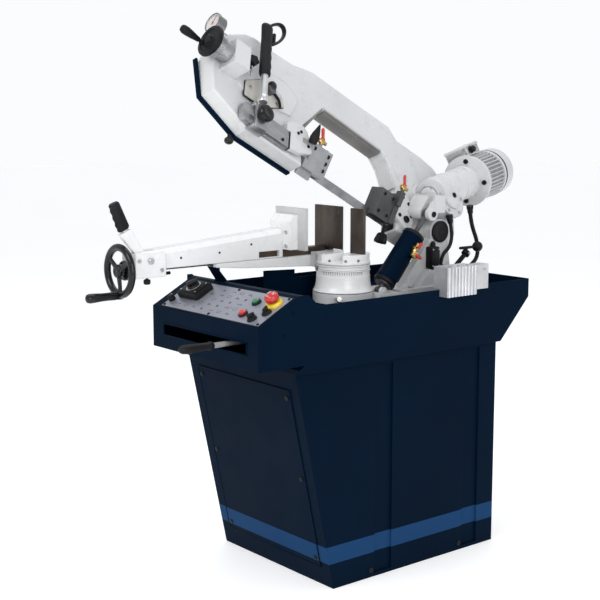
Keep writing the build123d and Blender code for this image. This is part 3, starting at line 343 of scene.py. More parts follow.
def lathe_into(bm, profile, place=Matrix.Identity(4), segments=48, lobes=0, depth=0.0):
    """Revolves (height, radius) pairs about z; a share depth of each radius is scalloped in so many lobes."""
    rings = []
    for height, radius in profile:
        if radius <= 0:
            rings.append([bm.verts.new(place @ Vector((0, 0, height)))])
            continue
        ring = []
        for step in range(segments):
            angle = 2 * pi * step / segments
            r = radius * (1 - depth * (0.5 + 0.5 * cos(lobes * angle))) if lobes else radius
            ring.append(bm.verts.new(place @ Vector((r * cos(angle), r * sin(angle), height))))
        rings.append(ring)
    for a, b in zip(rings, rings[1:]):
        for step in range(segments):
            nxt = (step + 1) % segments
            if len(a) == 1 and len(b) == 1:
                continue
            if len(a) == 1:
                bm.faces.new((a[0], b[step], b[nxt]))
            elif len(b) == 1:
                bm.faces.new((a[step], a[nxt], b[0]))
            else:
                bm.faces.new((a[step], a[nxt], b[nxt], b[step]))
    for ring in (rings[0], rings[-1]):
        if len(ring) > 2:
            bm.faces.new(ring)


def lathe(name, profile, place, body, material, slot=None, segments=48, lobes=0, depth=0.0, **kw):
    bm = bmesh.new()
    lathe_into(bm, profile, segments=segments, lobes=lobes, depth=depth)
    piece(name, bm, place, body, material, slot, **kw)


SHARP_ANGLE = radians(25)


def plate_into(bm, outline, low, high, place=Matrix.Identity(4), soften=1.5):
    """Extrudes an (x, y) outline from low to high and rounds its edges."""
    fresh = bmesh.new()
    bottom = [fresh.verts.new((x, y, low)) for x, y in outline]
    top = [fresh.verts.new((x, y, high)) for x, y in outline]
    fresh.faces.new(bottom[::-1])
    fresh.faces.new(top)
    for i in range(len(outline)):
        j = (i + 1) % len(outline)
        fresh.faces.new((bottom[i], bottom[j], top[j], top[i]))
    if soften:
        bmesh.ops.recalc_face_normals(fresh, faces=fresh.faces)
        edges = [e for e in fresh.edges if len(e.link_faces) == 2 and e.calc_face_angle(0) > SHARP_ANGLE]
        bmesh.ops.bevel(fresh, geom=edges, offset=soften, segments=2, affect="EDGES", profile=0.5,
            clamp_overlap=True)
    mesh = bpy.data.meshes.new("part")
    fresh.to_mesh(mesh)
    fresh.free()
    mesh.transform(place)
    bm.from_mesh(mesh)
    bpy.data.meshes.remove(mesh)


def plate(name, outline, low, high, place, body, material, slot=None, soften=1.5, **kw):
    bm = bmesh.new()
    plate_into(bm, outline, low, high, soften=soften)
    piece(name, bm, place, body, material, slot, **kw)


def rect(x0, x1, y0, y1):
    return ((x0, y0), (x1, y0), (x1, y1), (x0, y1))


SCREW_SIDES = 24


def circle(radius):
    turns = [2 * pi * step / SCREW_SIDES for step in range(SCREW_SIDES)]
    return [(radius * cos(angle), radius * sin(angle)) for angle in turns]


def hexagon(radius):
    """A hexagon of as many points as the circle, so that the two can be joined."""
    out = []
    for step in range(SCREW_SIDES):
        angle = 2 * pi * step / SCREW_SIDES
        side = (angle % (pi / 3)) - pi / 6
        reach = radius * cos(pi / 6) / cos(side)
        out.append((reach * cos(angle), reach * sin(angle)))
    return out


def screw_into(bm, place, radius, height):
    """A cap screw head standing on z = 0: chamfered rim, hexagon socket half as wide."""
    rim, floor, socket = height * 0.86, height * 0.45, radius * 0.52
    levels = [(circle(radius), 0), (circle(radius), rim), (circle(radius * 0.9), height),
        (hexagon(socket), height), (hexagon(socket), floor)]
    rings = [[bm.verts.new(place @ Vector((x, y, z))) for x, y in ring] for ring, z in levels]
    bridge(bm, rings)
    bm.faces.new(rings[0][::-1])
    bm.faces.new(rings[-1])


def screws(name, places, radius, height, body, material, frame_matrix=WORLD, slot=None):
    """places: (point, axis) pairs in frame_matrix's local millimetres."""
    bm = bmesh.new()
    inverse = WORLD.inverted()
    for point, axis in places:
        screw_into(bm, inverse @ along(frame_matrix, point, axis), radius, height)
    piece(name, bm, WORLD, body, material, slot)


# ---- camera, floor and lights
CAMERA_SPOT, CAMERA_LENS, CAMERA_DOWN, CAMERA_TURN = (2.992, -2.609, 1.435), 75.1, 8.82, 50.90


def look():
    """A camera at the viewpoint estimated from the photo."""
    camera = bpy.data.cameras.new("camera")
    camera.sensor_width, camera.lens = 36.0, CAMERA_LENS
    obj = bpy.data.objects.new("camera", camera)
    bpy.context.collection.objects.link(obj)
    obj.location = CAMERA_SPOT
    obj.rotation_euler = (radians(90 - CAMERA_DOWN), 0, radians(CAMERA_TURN))
    bpy.context.scene.camera = obj


def soft_light(name, place, target, size, power):
    data = bpy.data.lights.new(name, "AREA")
    data.shape, data.size, data.size_y = "RECTANGLE", size[0], size[1]
    data.energy = power
    obj = bpy.data.objects.new(name, data)
    bpy.context.collection.objects.link(obj)
    obj.location = place
    obj.rotation_euler = (Vector(target) - Vector(place)).to_track_quat("-Z", "Y").to_euler()


def stage_piece(name, bm, material):
    mesh = bpy.data.meshes.new(name)
    bm.to_mesh(mesh)
    bm.free()
    obj = bpy.data.objects.new(name, mesh)
    bpy.context.collection.objects.link(obj)
    mesh.materials.append(material)
    return obj


def studio():
    """Pale floor and backdrop, a cool sky and three soft lamps."""
    world = bpy.data.worlds.new("studio")
    bpy.context.scene.world = world
    world.use_nodes = True
    sky = world.node_tree.nodes["Background"]
    sky.inputs["Color"].default_value = (0.95, 0.97, 1.0, 1)
    sky.inputs["Strength"].default_value = 0.74
    soft_light("key", (0.4, -3.6, 3.4), (0, -0.1, 1.0), (2.2, 1.8), 62)
    soft_light("side", (3.8, -1.4, 2.0), (0, 0, 1.0), (2.0, 2.4), 62)
    soft_light("top", (-0.8, 0.8, 4.2), (0, 0, 1.0), (3.0, 3.0), 46)
    bpy.context.scene.view_settings.view_transform = "Standard"
    bm = bmesh.new()
    bmesh.ops.create_grid(bm, x_segments=2, y_segments=2, size=30)
    pale = surface("pale_floor", (0.90, 0.90, 0.90), (0.93, 0.93, 0.93), (0.6, 0.75), scale=0.8, grain=60,
        grain_depth=0.00002, edge=0.0, specular=0.1)
    lift = pale.node_tree.nodes["Principled BSDF"]
    lift.inputs["Emission Color"].default_value = (1, 1, 1, 1)
    lift.inputs["Emission Strength"].default_value = 0.31
    floor = stage_piece("floor", bm, pale)
    floor.location = (0, 0, -0.0005)
    bm = bmesh.new()
    bmesh.ops.create_uvsphere(bm, u_segments=48, v_segments=24, radius=28)
    bmesh.ops.reverse_faces(bm, faces=bm.faces)
    glow = bpy.data.materials.new("backdrop_glow")
    glow.use_nodes = True
    shader = glow.node_tree.nodes["Principled BSDF"]
    shader.inputs["Base Color"].default_value = (0, 0, 0, 1)
    shader.inputs["Emission Color"].default_value = (0.93, 0.94, 0.95, 1)
    shader.inputs["Emission Strength"].default_value = 1.0
    backdrop = stage_piece("backdrop", bm, glow)
    backdrop.visible_diffuse = backdrop.visible_glossy = backdrop.visible_shadow = False
    backdrop.visible_transmission = False


def smooth_line(name, points, smoothness):
    """A curve guided by the points, capped and round once it is given a bevel depth."""
    curve = bpy.data.curves.new(name, "CURVE")
    curve.dimensions, curve.bevel_resolution, curve.use_fill_caps = "3D", 5, True
    spline = curve.splines.new("NURBS")
    spline.points.add(len(points) - 1)
    for point, spot in zip(spline.points, points):
        point.co = (*spot, 1)
    spline.order_u, spline.use_endpoint_u, spline.resolution_u = 3, True, smoothness
    return curve, bpy.data.objects.new(name + "_line", curve)


def tube(name, points, radius, place, body, material, slot=None):
    """A smooth round bar through control points, in place's local millimetres."""
    curve, carrier = smooth_line(name, points, 10)
    curve.bevel_depth = radius
    mesh = bpy.data.meshes.new_from_object(carrier)
    bpy.data.objects.remove(carrier)
    bm = bmesh.new()
    bm.from_mesh(mesh)
    bpy.data.meshes.remove(mesh)
    piece(name, bm, place, body, material, slot, smooth=40)


# ---- saw head: blade tension and gauge
TENSION_T, TENSION_W = 154, 62
AWAY = Vector((-1, 0, 0))
GAUGE_ZERO, GAUGE_SWEEP, GAUGE_MARKS, NEEDLE_AT = -135, 270, 24, 48


def tension_group():
    """Tension handwheel with its spindle, the housing behind it, and the gauge on top."""
    base = along(BOW, (-1028, TENSION_T, TENSION_W), AWAY)
    bm = bmesh.new()
    disc = [(0, 0), (0, 44), (1.5, 48), (4, 49.5), (11, 49.5), (14, 47.5), (15.5, 42), (15.5, 37),
        (13.5, 34.5), (13.5, 17), (15.5, 15), (21, 14), (23, 11), (23, 0)]
    lathe_into(bm, disc, segments=64)
    offset = base.inverted() @ along(BOW, (-1040, TENSION_T + 10, TENSION_W - 32), AWAY)
    lathe_into(bm, [(0, 0), (0, 9), (6, 9), (8, 5.5), (13, 5.5), (15, 7.5), (24, 8.5), (44, 11.5),
        (62, 13.2), (74, 12.8), (80, 10), (82.5, 5), (82.5, 0)], offset, segments=36)
    screw = base.inverted() @ along(BOW, (-880, TENSION_T, TENSION_W), AWAY)
    lathe_into(bm, [(0, 0), (0, 8.9), (149, 8.9), (149, 0)], screw, segments=32)
    piece("tension_wheel", bm, base, "tension_wheel", BLACK, replaced=("tension_handwheel",))
    holder = along(BOW, (-966.2, TENSION_T, TENSION_W), AWAY)
    bm = bmesh.new()
    profile = [(0, 9.6), (0, 31), (34, 31), (36, 34)]
    for step in range(5):
        h = 37 + step * 4
        profile += [(h, 37), (h + 0.8, 38), (h + 2.6, 38), (h + 3.2, 37)]
    profile += [(57.8, 36), (57.8, 9.6)]
    lathe_into(bm, profile, segments=64)
    turned = Matrix(((0, 0, 1, 0), (0, 1, 0, 0), (-1, 0, 0, 0), (0, 0, 0, 1)))
    foot = holder.inverted() @ BOW @ Matrix.Translation((-1039.2, TENSION_T, TENSION_W)) @ turned
    plate_into(bm, rect(-12, 12, 20, 52), 19, 54, foot, soften=2)
    piece("tension_body", bm, holder, "saw_head", BAR, replaced=("tension_housing",))
    gauge = along(BOW, (-992, 240, 48), AWAY)
    bm = bmesh.new()
    lathe_into(bm, [(0, 0), (0, 28), (3, 30.5), (26, 30.5), (27.5, 33), (33, 33), (34.5, 31.5), (34.5, 29),
        (32, 28.6), (31.8, 0)], segments=64)
    stem = gauge.inverted() @ along(BOW, (-1006, 205, 56), (0, 1, 0))
    lathe_into(bm, [(0, 0), (0, 8), (5, 8), (5, 6.5), (10, 6.5), (10, 0)], stem, segments=24)
    piece("gauge_case", bm, gauge, "saw_head", CHROME, "chrome", replaced=("tension_gauge",))
    lathe("gauge_dial", [(31.6, 0), (31.6, 28.2), (32.3, 28.2), (32.3, 0)], gauge, "saw_head", DIAL,
        "chrome", segments=64)
    bm = bmesh.new()
    for step in range(GAUGE_MARKS + 1):
        turn = spin(GAUGE_ZERO + GAUGE_SWEEP * step / GAUGE_MARKS)
        inner = 19 if step % 6 == 0 else 22
        plate_into(bm, rect(-0.5, 0.5, inner, 26), 32.3, 32.6, turn, soften=0)
    piece("gauge_marks", bm, gauge, "saw_head", BLACK)
    bm = bmesh.new()
    plate_into(bm, ((-1.6, -7), (1.6, -7), (0.5, 23), (-0.5, 23)), 32.9, 33.5, spin(NEEDLE_AT), 0.2)
    lathe_into(bm, [(32.3, 0), (32.3, 3), (34, 3), (34, 0)], segments=24)
    piece("gauge_needle", bm, gauge, "saw_head", RED)


# ---- saw head: control handle, wheel cover and tension carriage
HANDLE_ROOT, HANDLE_WAY = (-832, 46, 84), (-8, 284, 0)


def grip_rings():
    """Cross sections of the finger grip: (height, left, right, half depth)."""
    out = []
    steps, foot, length, dents, dented, rounded = 48, 145, 190, 4.0, 0.72, 0.03
    for step in range(steps + 1):
        share = step / steps
        height = foot + length * share
        right = 19.5 - 3.2 * (0.5 - 0.5 * cos(2 * pi * dents * min(share / dented, 1.0)))
        left, depth = 19.0, 15.5 + 2.0 * cos(pi * share)
        if share > dented:
            left, right = 19.0 + 3.0 * (share - dented) / (1 - dented), 20.5
        for end in (share, 1 - share):
            if end < rounded:
                k = 0.82 + 0.18 * (end / rounded)
                left, right, depth = left * k, right * k, depth * k
        out.append((height, left, right, depth))
    return out


def control_handle():
    """Handle bar with its finger grip and trigger guard, and the ribbed knob at its foot."""
    lean = atan2(-HANDLE_WAY[0], HANDLE_WAY[1])
    base = BOW @ Matrix.Translation(HANDLE_ROOT) @ Matrix.Rotation(lean, 4, "Z")
    bm = bmesh.new()
    rings = []
    for height, left, right, depth in grip_rings():
        loop = []
        for step in range(40):
            angle = 2 * pi * step / 40
            reach = right if cos(angle) > 0 else left
            loop.append(bm.verts.new((reach * cos(angle), height - HANDLE_ROOT[1], depth * sin(angle))))
        rings.append(loop)
    loft(bm, rings)
    piece("finger_grip", bm, base, "saw_head", BLACK, smooth=50, replaced=("handle_grip",))
    bow_path = [(2, 286, 0), (30, 316, 0), (56, 332, 0), (72, 324, 0), (74, 302, 0), (64, 276, 0),
        (42, 246, 0), (10, 218, 0)]
    bm = bmesh.new()
    sections = []
    for i, spot in enumerate(bow_path):
        before, after = bow_path[max(i - 1, 0)], bow_path[min(i + 1, len(bow_path) - 1)]
        way = (Vector(after) - Vector(before)).normalized()
        side = way.cross(Vector((0, 0, 1)))
        sections.append([bm.verts.new(Vector(spot) + side * a + Vector((0, 0, b)))
            for a, b in ((-5, -9), (5, -9), (5, 9), (-5, 9))])
    loft(bm, sections)
    loop = piece("trigger_guard", bm, base, "saw_head", BLACK, smooth=60)
    modifier = loop.modifiers.new("round", "SUBSURF")
    modifier.levels = modifier.render_levels = 2
    lathe("handle_bar", [(0, 0), (0, 12.5), (2, 13.5), (20, 13.5), (22, 12.5), (22, 11), (120, 11),
        (120, 0)], along(BOW, HANDLE_ROOT, HANDLE_WAY), "saw_head", BRIGHT, segments=40,
        replaced=("handle_tube",))
    lathe("handle_root", [(0, 0), (0, 12), (14, 12), (14, 0)], along(BOW, (-832, 57, 70), (0, 0, 1)),
        "saw_head", BRIGHT, segments=32)
    lathe("clamp_knob", [(0, 0), (0, 10), (5.7, 10), (5.7, 25.5), (8, 27), (20, 27), (23.5, 25), (25.7, 20),
        (25, 12), (23.8, 9), (23.8, 0)], along(BOW, (-818, 14, 70.3), (0, 0, 1)), "bar_knob", GLOSS_BLACK,
        segments=60, lobes=20, depth=0.03, replaced=("bar_knob",))


def cover_strip():
    """Navy edge strip of the wheel cover with its ball knob and screws."""
    outer = ((-1016, 152), (-985, 28), (-836, -33), (-601, -33), (-601, -26.2), (-834, -26.2), (-980.4, 32),
        (-1009, 152))
    plate("cover_edge", outer, -37, -20, BOW, "saw_head", NAVY, "black_plastic", soften=1.6,
        replaced=("cover_edge_strip",))
    profile = [(0, 0), (0, 6), (8, 6), (10, 7.5), (12, 11), (16, 13.6), (20, 14), (24, 12.4), (27.5, 8),
        (28.6, 0)]
    lathe("cover_ball", profile, along(BOW, (-853, -33, -28), (0, -1, 0)), "saw_head", GLOSS_BLACK,
        segments=36)
    screws("cover_screws", [((r, t, -37), (0, 0, -1)) for r, t in ((-960, 60), (-960, 210), (-760, 0),
        (-640, 300), (-400, 305), (-100, 305), (100, 250), (130, 60), (-20, 0), (-640, 40))], 6, 4,
        "saw_head", STEEL, BOW)


def wing_knob():
    """Cover latch: a lobed knob with a pin and a bent tail."""
    base = along(BOW, (-876, 180, 29), (0, 0, 1))
    bm = bmesh.new()
    lathe_into(bm, [(0, 0), (0, 11), (8, 11), (9, 8), (36, 8), (36, 16), (38, 18), (52, 18), (55, 15),
        (56, 0)], segments=48, lobes=5, depth=0.2)
    piece("cover_latch", bm, base, "saw_head", BLACK)
    tube("latch_pin", [(-874, 168, 70), (-872, 152, 66), (-868, 134, 60)], 3.2, BOW, "saw_head", STEEL)
    tube("latch_tail", [(-884, 192, 72), (-890, 203, 74), (-894, 214, 76)], 4.2, BOW, "saw_head", STEEL)


def carriage():
    """Ivory slide plate of the tension carriage with its cap screws, stop knob and lever."""
    outline = ((-872, 76), (-868, 72), (-792, 72), (-706, 124), (-703, 132), (-714, 164), (-720, 167),
        (-800, 178), (-868, 132), (-872, 126))
    plate("carriage_edge", outline, 36.4, 38.2, BOW, "saw_head", BLACK, soften=0.3)
    inner = [(-790 + (x + 790) * 0.965, 122 + (y - 122) * 0.94) for x, y in outline]
    ivory = surface("ivory_plate", (0.40, 0.39, 0.355), (0.50, 0.485, 0.445), (0.3, 0.45), scale=12,
        grain=500, grain_depth=0.00008, edge=0.001)
    plate("carriage_face", inner, 38.2, 42.0, BOW, "saw_head", ivory, "bright_steel", soften=0.8)
    screws("carriage_screws", [((r, t, 42), (0, 0, 1)) for r, t in ((-850, 112), (-738, 118), (-730, 146))],
        6.5, 3, "saw_head", STEEL, BOW)
    lathe("stop_knob", [(0, 0), (0, 7), (6, 7), (6, 12), (9, 14.5), (18, 14.5), (21, 12), (22, 6), (22, 0)],
        along(BOW, (-774, 160, 42), (0, 0, 1)), "saw_head", GLOSS_BLACK, segments=36, lobes=8, depth=0.05)
    tube("stop_lever", [(-756, 148, 46), (-744, 136, 50), (-734, 120, 52), (-730, 104, 50)], 4.5, BOW,
        "saw_head", BLACK)


# ---- blade guides and coolant taps
def lathes_into(bm, place, parts):
    """parts: (start, axis, profile) lathes in place's local millimetres."""
    for start, axis, profile in parts:
        lathe_into(bm, profile, local(place, start, axis), segments=32)


def blade_guides():
    """Screws of both guides and their brackets, the bar's end cap, the lock lever and the clamp knob."""
    screws("guide_screws", [((r, n, 34), (1, 0, 0)) for r, n in ((-520, 62), (-520, 38), (-520, 14),
        (-580, 62))], 6.5, 5, "guide_carrier", BLACK, LINE)
    screws("guide_top_screws", [((r, 78, x), (0, 1, 0)) for r, x in ((-522, 2), (-522, 22), (-560, -2))],
        5.5, 4, "guide_carrier", BLACK, LINE)
    screws("bracket_screws", [((r, t, 56), (0, 0, 1)) for r, t in ((-640, 66), (-652, 54), (-606, 30),
        (-716, -8))], 5.0, 3, "guide_carrier", BLACK, BOW)
    bm = bmesh.new()
    plate_into(bm, rect(-691, -684, -22, 40), 37.6, 56.6, soften=0.8)
    piece("bar_end_cap", bm, BOW, "guide_carrier", BLACK)
    bm = bmesh.new()
    lathe_into(bm, [(0, 0), (0, 12), (6, 14), (20, 15), (34, 12), (52, 6), (62, 2.6), (64, 0)], segments=28,
        lobes=4, depth=0.18)
    piece("guide_lock_lever", bm, along(LINE, (-600, 66, 40), (-0.10, 0.93, 0.15)), "guide_carrier", BLACK)
    screws("rear_guide_screws", [((r, n, 30), (1, 0, 0)) for r, n in ((-206, 14), (-206, 74), (-246, 74),
        (-246, 14))], 6, 4, "saw_head", BLACK, LINE)
    screws("wall_bracket_screws", [((r, t, 44), (0, 0, 1)) for r, t in ((-158, 88), (-134, 104), (-104, 92),
        (-92, 50), (-150, 26))], 6.5, 4, "saw_head", BLACK, BOW)
    screws("wall_bracket_bolt", [((-118, 24, 44), (0, 0, 1))], 12, 8, "saw_head", BLACK, BOW)
    bm = bmesh.new()
    lathe_into(bm, [(0, 0), (0, 6.2), (28, 6.2), (30, 14), (34, 17), (52, 22), (58, 22), (62, 19), (63, 8),
        (62, 7), (62, 0)], segments=56, lobes=7, depth=0.22)
    piece("guide_clamp_knob", bm, along(LINE, (-180, -8, 12), (4, -26, 0)), "guide_knob", BLACK,
        replaced=("guide_knob",))


def tap(name, spot, body):
    """Brass plug tap with a red lever, standing on a guide."""
    r, n, x = spot
    bm = bmesh.new()
    lathes_into(bm, LINE, [
        ((r, n - 14, x), (0, 1, 0), [(0, 0), (0, 9), (8, 9), (8, 7), (14, 7), (14, 0)]),
        ((r - 13, n - 6, x), (1, 0, 0), [(0, 0), (0, 6), (4, 8.5), (20, 8.5), (24, 6), (31, 6), (31, 0)]),
    ])
    piece(name + "_body", bm, LINE, body, BRASS)
    bm = bmesh.new()
    lathes_into(bm, LINE, [((r, n + 0.4, x), (0, 1, 0), [(0, 0), (0, 6.5), (2, 7), (5, 7), (6, 5.5),
        (6, 0)])])
    turn = Matrix.Translation((r, n + 4, x)) @ spin(118) @ spin(24, "X")
    plate_into(bm, ((-13, -7), (-4, -8), (12, -8.5), (28, -10), (35, 0), (28, 10), (12, 8.5), (-4, 8),
        (-13, 7)), -2.4, 2.4, turn, 1.5)
    piece(name + "_handle", bm, LINE, name, RED, "brass", replaced=(name + "_lever",))


def guide_arm():
    """Silver guide bar with its white bracket, greyed by painted shade, held by a slim strap under the clamp
    knob.
    """
    bm = bmesh.new()
    plate_into(bm, ((-884, -8), (-876, -20), (-866, -22), (-686, -22), (-686, 40), (-866, 40), (-878, 36),
        (-884, 26)), 38, 56, soften=1.4)
    piece("guide_bar_plate", bm, BOW, "guide_carrier", BAR, replaced=("guide_bar",))
    bracket = ((-700, -20), (-700, 66), (-688, 80), (-640, 100), (-612, 84), (-588, 30), (-588, 14),
        (-640, -14))
    plate("guide_bracket", bracket, 38.2, 56, BOW, "guide_carrier", SHADED_WHITE, soften=2.5)
    # painted shade: a grey strip stands in for the shade in the groove along the top of the bar
    plate("guide_groove_shade", rect(-862, -700, 5, 13), 55.2, 56.3, BOW, "guide_carrier", GREY, "bright_steel",
        soften=0.3)
    bm = bmesh.new()
    plate_into(bm, rect(-846, -790, -34, -22.6), 30, 66, soften=3)
    plate_into(bm, rect(-846, -790, 40.6, 56), 30, 66, soften=3)
    plate_into(bm, rect(-840, -796, -33, 55), 57, 70, soften=3)
    piece("guide_strap", bm, BOW, "saw_head", BAR, "white_paint", replaced=("guide_clamp",))


def beam_channel():
    """Folded grey guard channel under the beam and the slanting strip beside the front guide."""
    bm = bmesh.new()
    plate_into(bm, rect(-516, -236, 236, 242), 20, 30.5, soften=0.8)
    plate_into(bm, rect(-516, -236, 236, 240), -22, -16, soften=0.8)
    plate_into(bm, rect(-516, -236, 232, 237.4), -20, 24, soften=0.8)
    piece("beam_channel", bm, BOW, "saw_head", GUARD)
    bm = bmesh.new()
    plate_into(bm, ((-604, 122), (-596, 122), (-524, 236), (-533, 238)), -20, 28, soften=0.8)
    piece("guard_strip", bm, BOW, "saw_head", GUARD)


def blade_teeth():
    """Tooth tips along the open span of the blade."""
    bm = bmesh.new()
    step, tooth, start, root, tip, half = 4.2, 0.74, -500, -13.4, -15.6, 0.45
    for i in range(int(335 / step)):
        r = start + i * step * tooth
        corners = [(r, root), (r + step * tooth, root), (r + step * 0.6, tip)]
        set_out = (0.0, 0.35, -0.35)[i % 3]
        low = [bm.verts.new((x, n, -half + (set_out if n == tip else 0))) for x, n in corners]
        high = [bm.verts.new((x, n, half + (set_out if n == tip else 0))) for x, n in corners]
        bm.faces.new(low[::-1])
        bm.faces.new(high)
        for a in range(3):
            b = (a + 1) % 3
            bm.faces.new((low[a], low[b], high[b], high[a]))
    piece("blade_teeth", bm, LINE, "saw_head", STEEL)


# ---- motor and gearbox
GEAR_R, GEAR_T = 9.5, 145


def motor_details():
    """Flange, rings, terminal box and ribs of the motor, and the cap of the gearbox."""
    bolts = [((*polar(70, a), 196), (0, 0, -1)) for a in (-65, 25, 115, 205)]
    screws("flange_bolts", bolts, 8.5, 5, "saw_head", BLACK, MOTOR)
    lathe("motor_core", [(226.3, 70), (226.3, 75.2), (351.5, 75.2), (351.5, 70)], MOTOR, "saw_head", GREY,
        segments=72)
    # painted shade: a black ring stands in for the shade in the gap between the rear bell and the fan cover
    lathe("fan_gap_shade", [(350.5, 62), (350.5, 84), (359.4, 84), (359.4, 62)], MOTOR, "saw_head", BLACK,
        segments=72)
    lathe("flange_rim", [(200, 60), (200, 89.2), (202, 90), (208, 90), (210, 89.2), (210, 60)], MOTOR,
        "saw_head", SHADED_WHITE, segments=72)
    lathe("rear_bell", [(340, 70), (340, 83), (343, 84.2), (350, 84.2), (350, 70)], MOTOR, "saw_head", SHADED_WHITE,
        segments=72)
    bm = bmesh.new()
    plate_into(bm, rect(-56, 40, 219, 315), 110, 119.5, soften=3)
    bm.transform(TO_XZ)
    plate_into(bm, rect(-52, 36, -112, -80), 222, 312, soften=3)
    piece("terminal_box", bm, MOTOR, "saw_head", SHADED_WHITE)
    screws("terminal_screws", [((x, -119.5, z), (0, -1, 0)) for x in (-48, 32) for z in (228, 306)], 3.4,
        1.6, "saw_head", STEEL, MOTOR)
    lathe("terminal_gland", [(0, 0), (0, 13), (7, 13), (7, 10.5), (12, 10.5), (16, 12), (20, 9), (20, 0)],
        along(MOTOR, (36, -96, 246), (1, 0, 0)), "saw_head", BLACK, segments=6)
    bm = bmesh.new()
    for z in (-40, 30, 104, 168):
        lathe_into(bm, [(z - 4, 52), (z - 4, 57), (z - 2, 58.6), (z + 2, 58.6), (z + 4, 57), (z + 4, 52)],
            segments=64)
    lathe_into(bm, [(-88, 0), (-88, 26), (-86, 30), (-84, 31), (-84, 36), (-80, 38.6), (-76, 38.6),
        (-76, 0)], segments=48)
    piece("worm_housing_ribs", bm, MOTOR, "saw_head", SHADED_WHITE)
    bolts = [((*polar(30, a), -84), (0, 0, -1)) for a in (45, 135, 225, 315)]
    screws("worm_cap_bolts", bolts, 4, 3, "saw_head", STEEL, MOTOR)
    bm = bmesh.new()
    lathe_into(bm, [(130, 0), (130, 40), (134, 43), (139, 43), (143, 38), (147, 22), (148, 0)], segments=56)
    bm.transform(Matrix.Translation((GEAR_R, GEAR_T, 0)))
    piece("gearbox_cap", bm, BOW, "saw_head", SHADED_WHITE)
    round_cap = [polar(60, a) for a in range(20, 380, 60)]
    bolts = [((GEAR_R + r, GEAR_T + t, 132), (0, 0, 1)) for r, t in round_cap]
    screws("gearbox_bolts", bolts, 5.5, 4, "saw_head", STEEL, BOW)
    screws("gearbox_plug", [((GEAR_R, GEAR_T, 147.6), (0, 0, 1))], 9, 4, "saw_head", BLACK, BOW)


# ---- column, drum and cylinder
PIVOT_Y, PIVOT_Z, PIN_Y, PIN_Z = 358, 1023, 293, 1085.5
CYL_LOW, CYL_TOP = Vector((80, 83, 852)), Vector((80, PIN_Y, PIN_Z))
CYL_WAY = (CYL_TOP - CYL_LOW).normalized()
CYL_SIDE = CYL_LOW + CYL_WAY * 150


def column_details():
    """Swivel drum with its rings, mitre scale and pointer, and the pins and bolts round it."""
    drum = [(852, 84), (852, 96), (854, 96.6), (858, 94), (866, 90.4), (878, 87.6), (892, 86.2),
        (904, 85.6), (904, 84)]
    lathe("drum_skirt", drum, WORLD, "swivel_column", WHITE, segments=96)
    bm = bmesh.new()
    for low, high, r in ((919, 922, 86.6), (934, 937, 87.4), (941, 948, 86.8)):
        lathe_into(bm, [(low, 84), (low, r), (high, r), (high, 84)], segments=96)
    piece("drum_rings", bm, WORLD, "stand", WHITE)
    # painted shade: thin grey bands stand in for the shade in the grooves beside the drum rings
    bm = bmesh.new()
    for low, high in ((923, 924), (938.2, 939.4)):
        lathe_into(bm, [(low, 84), (low, 85.5), (high, 85.5), (high, 84)], segments=96)
    piece("drum_groove_shade", bm, WORLD, "stand", GUARD)
    bm = bmesh.new()
    for step in range(19):
        place = spin(-88 + step * 5) @ Matrix.Translation((85.3, 0, 0)) @ spin(90, "Y")
        plate_into(bm, rect(-916 - (6 if step % 3 == 0 else 3), -910, -0.45, 0.45), 0, 0.7, place, 0)
    piece("mitre_scale", bm, WORLD, "stand", BLACK)
    place = spin(-126) @ Matrix.Translation((86, 0, 0)) @ spin(90, "Y")
    bm = bmesh.new()
    plate_into(bm, ((-934, -26), (-924, -26), (-918, -6), (-918, 24), (-934, 26)), 0, 3.2, place, 0.8)
    piece("mitre_pointer", bm, WORLD, "stand", GUARD)
    spots = [((*polar(86.6, a), 955), (*polar(1, a), 0)) for a in (-70, -36, -8)]
    screws("drum_screws", spots, 4.2, 2.6, "stand", GUARD)
    lathe("swivel_stop_pin", [(0, 0), (0, 7), (22, 7), (24, 5.5), (24, 9.5), (32, 9.5), (34, 8), (34, 0)],
        along(WORLD, (60, -78, 836), (0.72, -0.35, 0.12)), "swivel_column", STEEL, segments=28)
    bm = bmesh.new()
    lathe_into(bm, [(0, 0), (0, 34), (2, 36), (9, 36), (11, 34), (12, 30), (10.5, 27), (10.5, 12), (12, 10),
        (12, 0)], segments=64, lobes=32, depth=0.012)
    piece("pivot_cap", bm, along(WORLD, (72, PIVOT_Y, PIVOT_Z), (1, 0, 0)), "swivel_column", BLACK,
        replaced=("pivot_shaft",))
    lathe("pivot_pin", [(0, 0), (0, 15), (36, 15), (36, 0)], along(WORLD, (8, PIVOT_Y, PIVOT_Z), (1, 0, 0)),
        "swivel_column", STEEL, segments=40)
    lathe("upper_pin_head", [(-1, 0), (-1, 21.5), (3, 22), (5.5, 20), (6, 12), (6, 0)],
        along(WORLD, (104, PIN_Y, PIN_Z), (1, 0, 0)), "saw_head", SHADED_WHITE, segments=48)
    screws("upper_pin_socket", [((110, PIN_Y, PIN_Z), (1, 0, 0))], 9.5, 4, "saw_head", BLACK)
    screws("foot_bolts", [((x, y, 850), (0, 0, 1)) for x, y in ((8, 300), (8, 350), (96, 208), (24, 240))],
        8, 7, "swivel_column", STEEL)


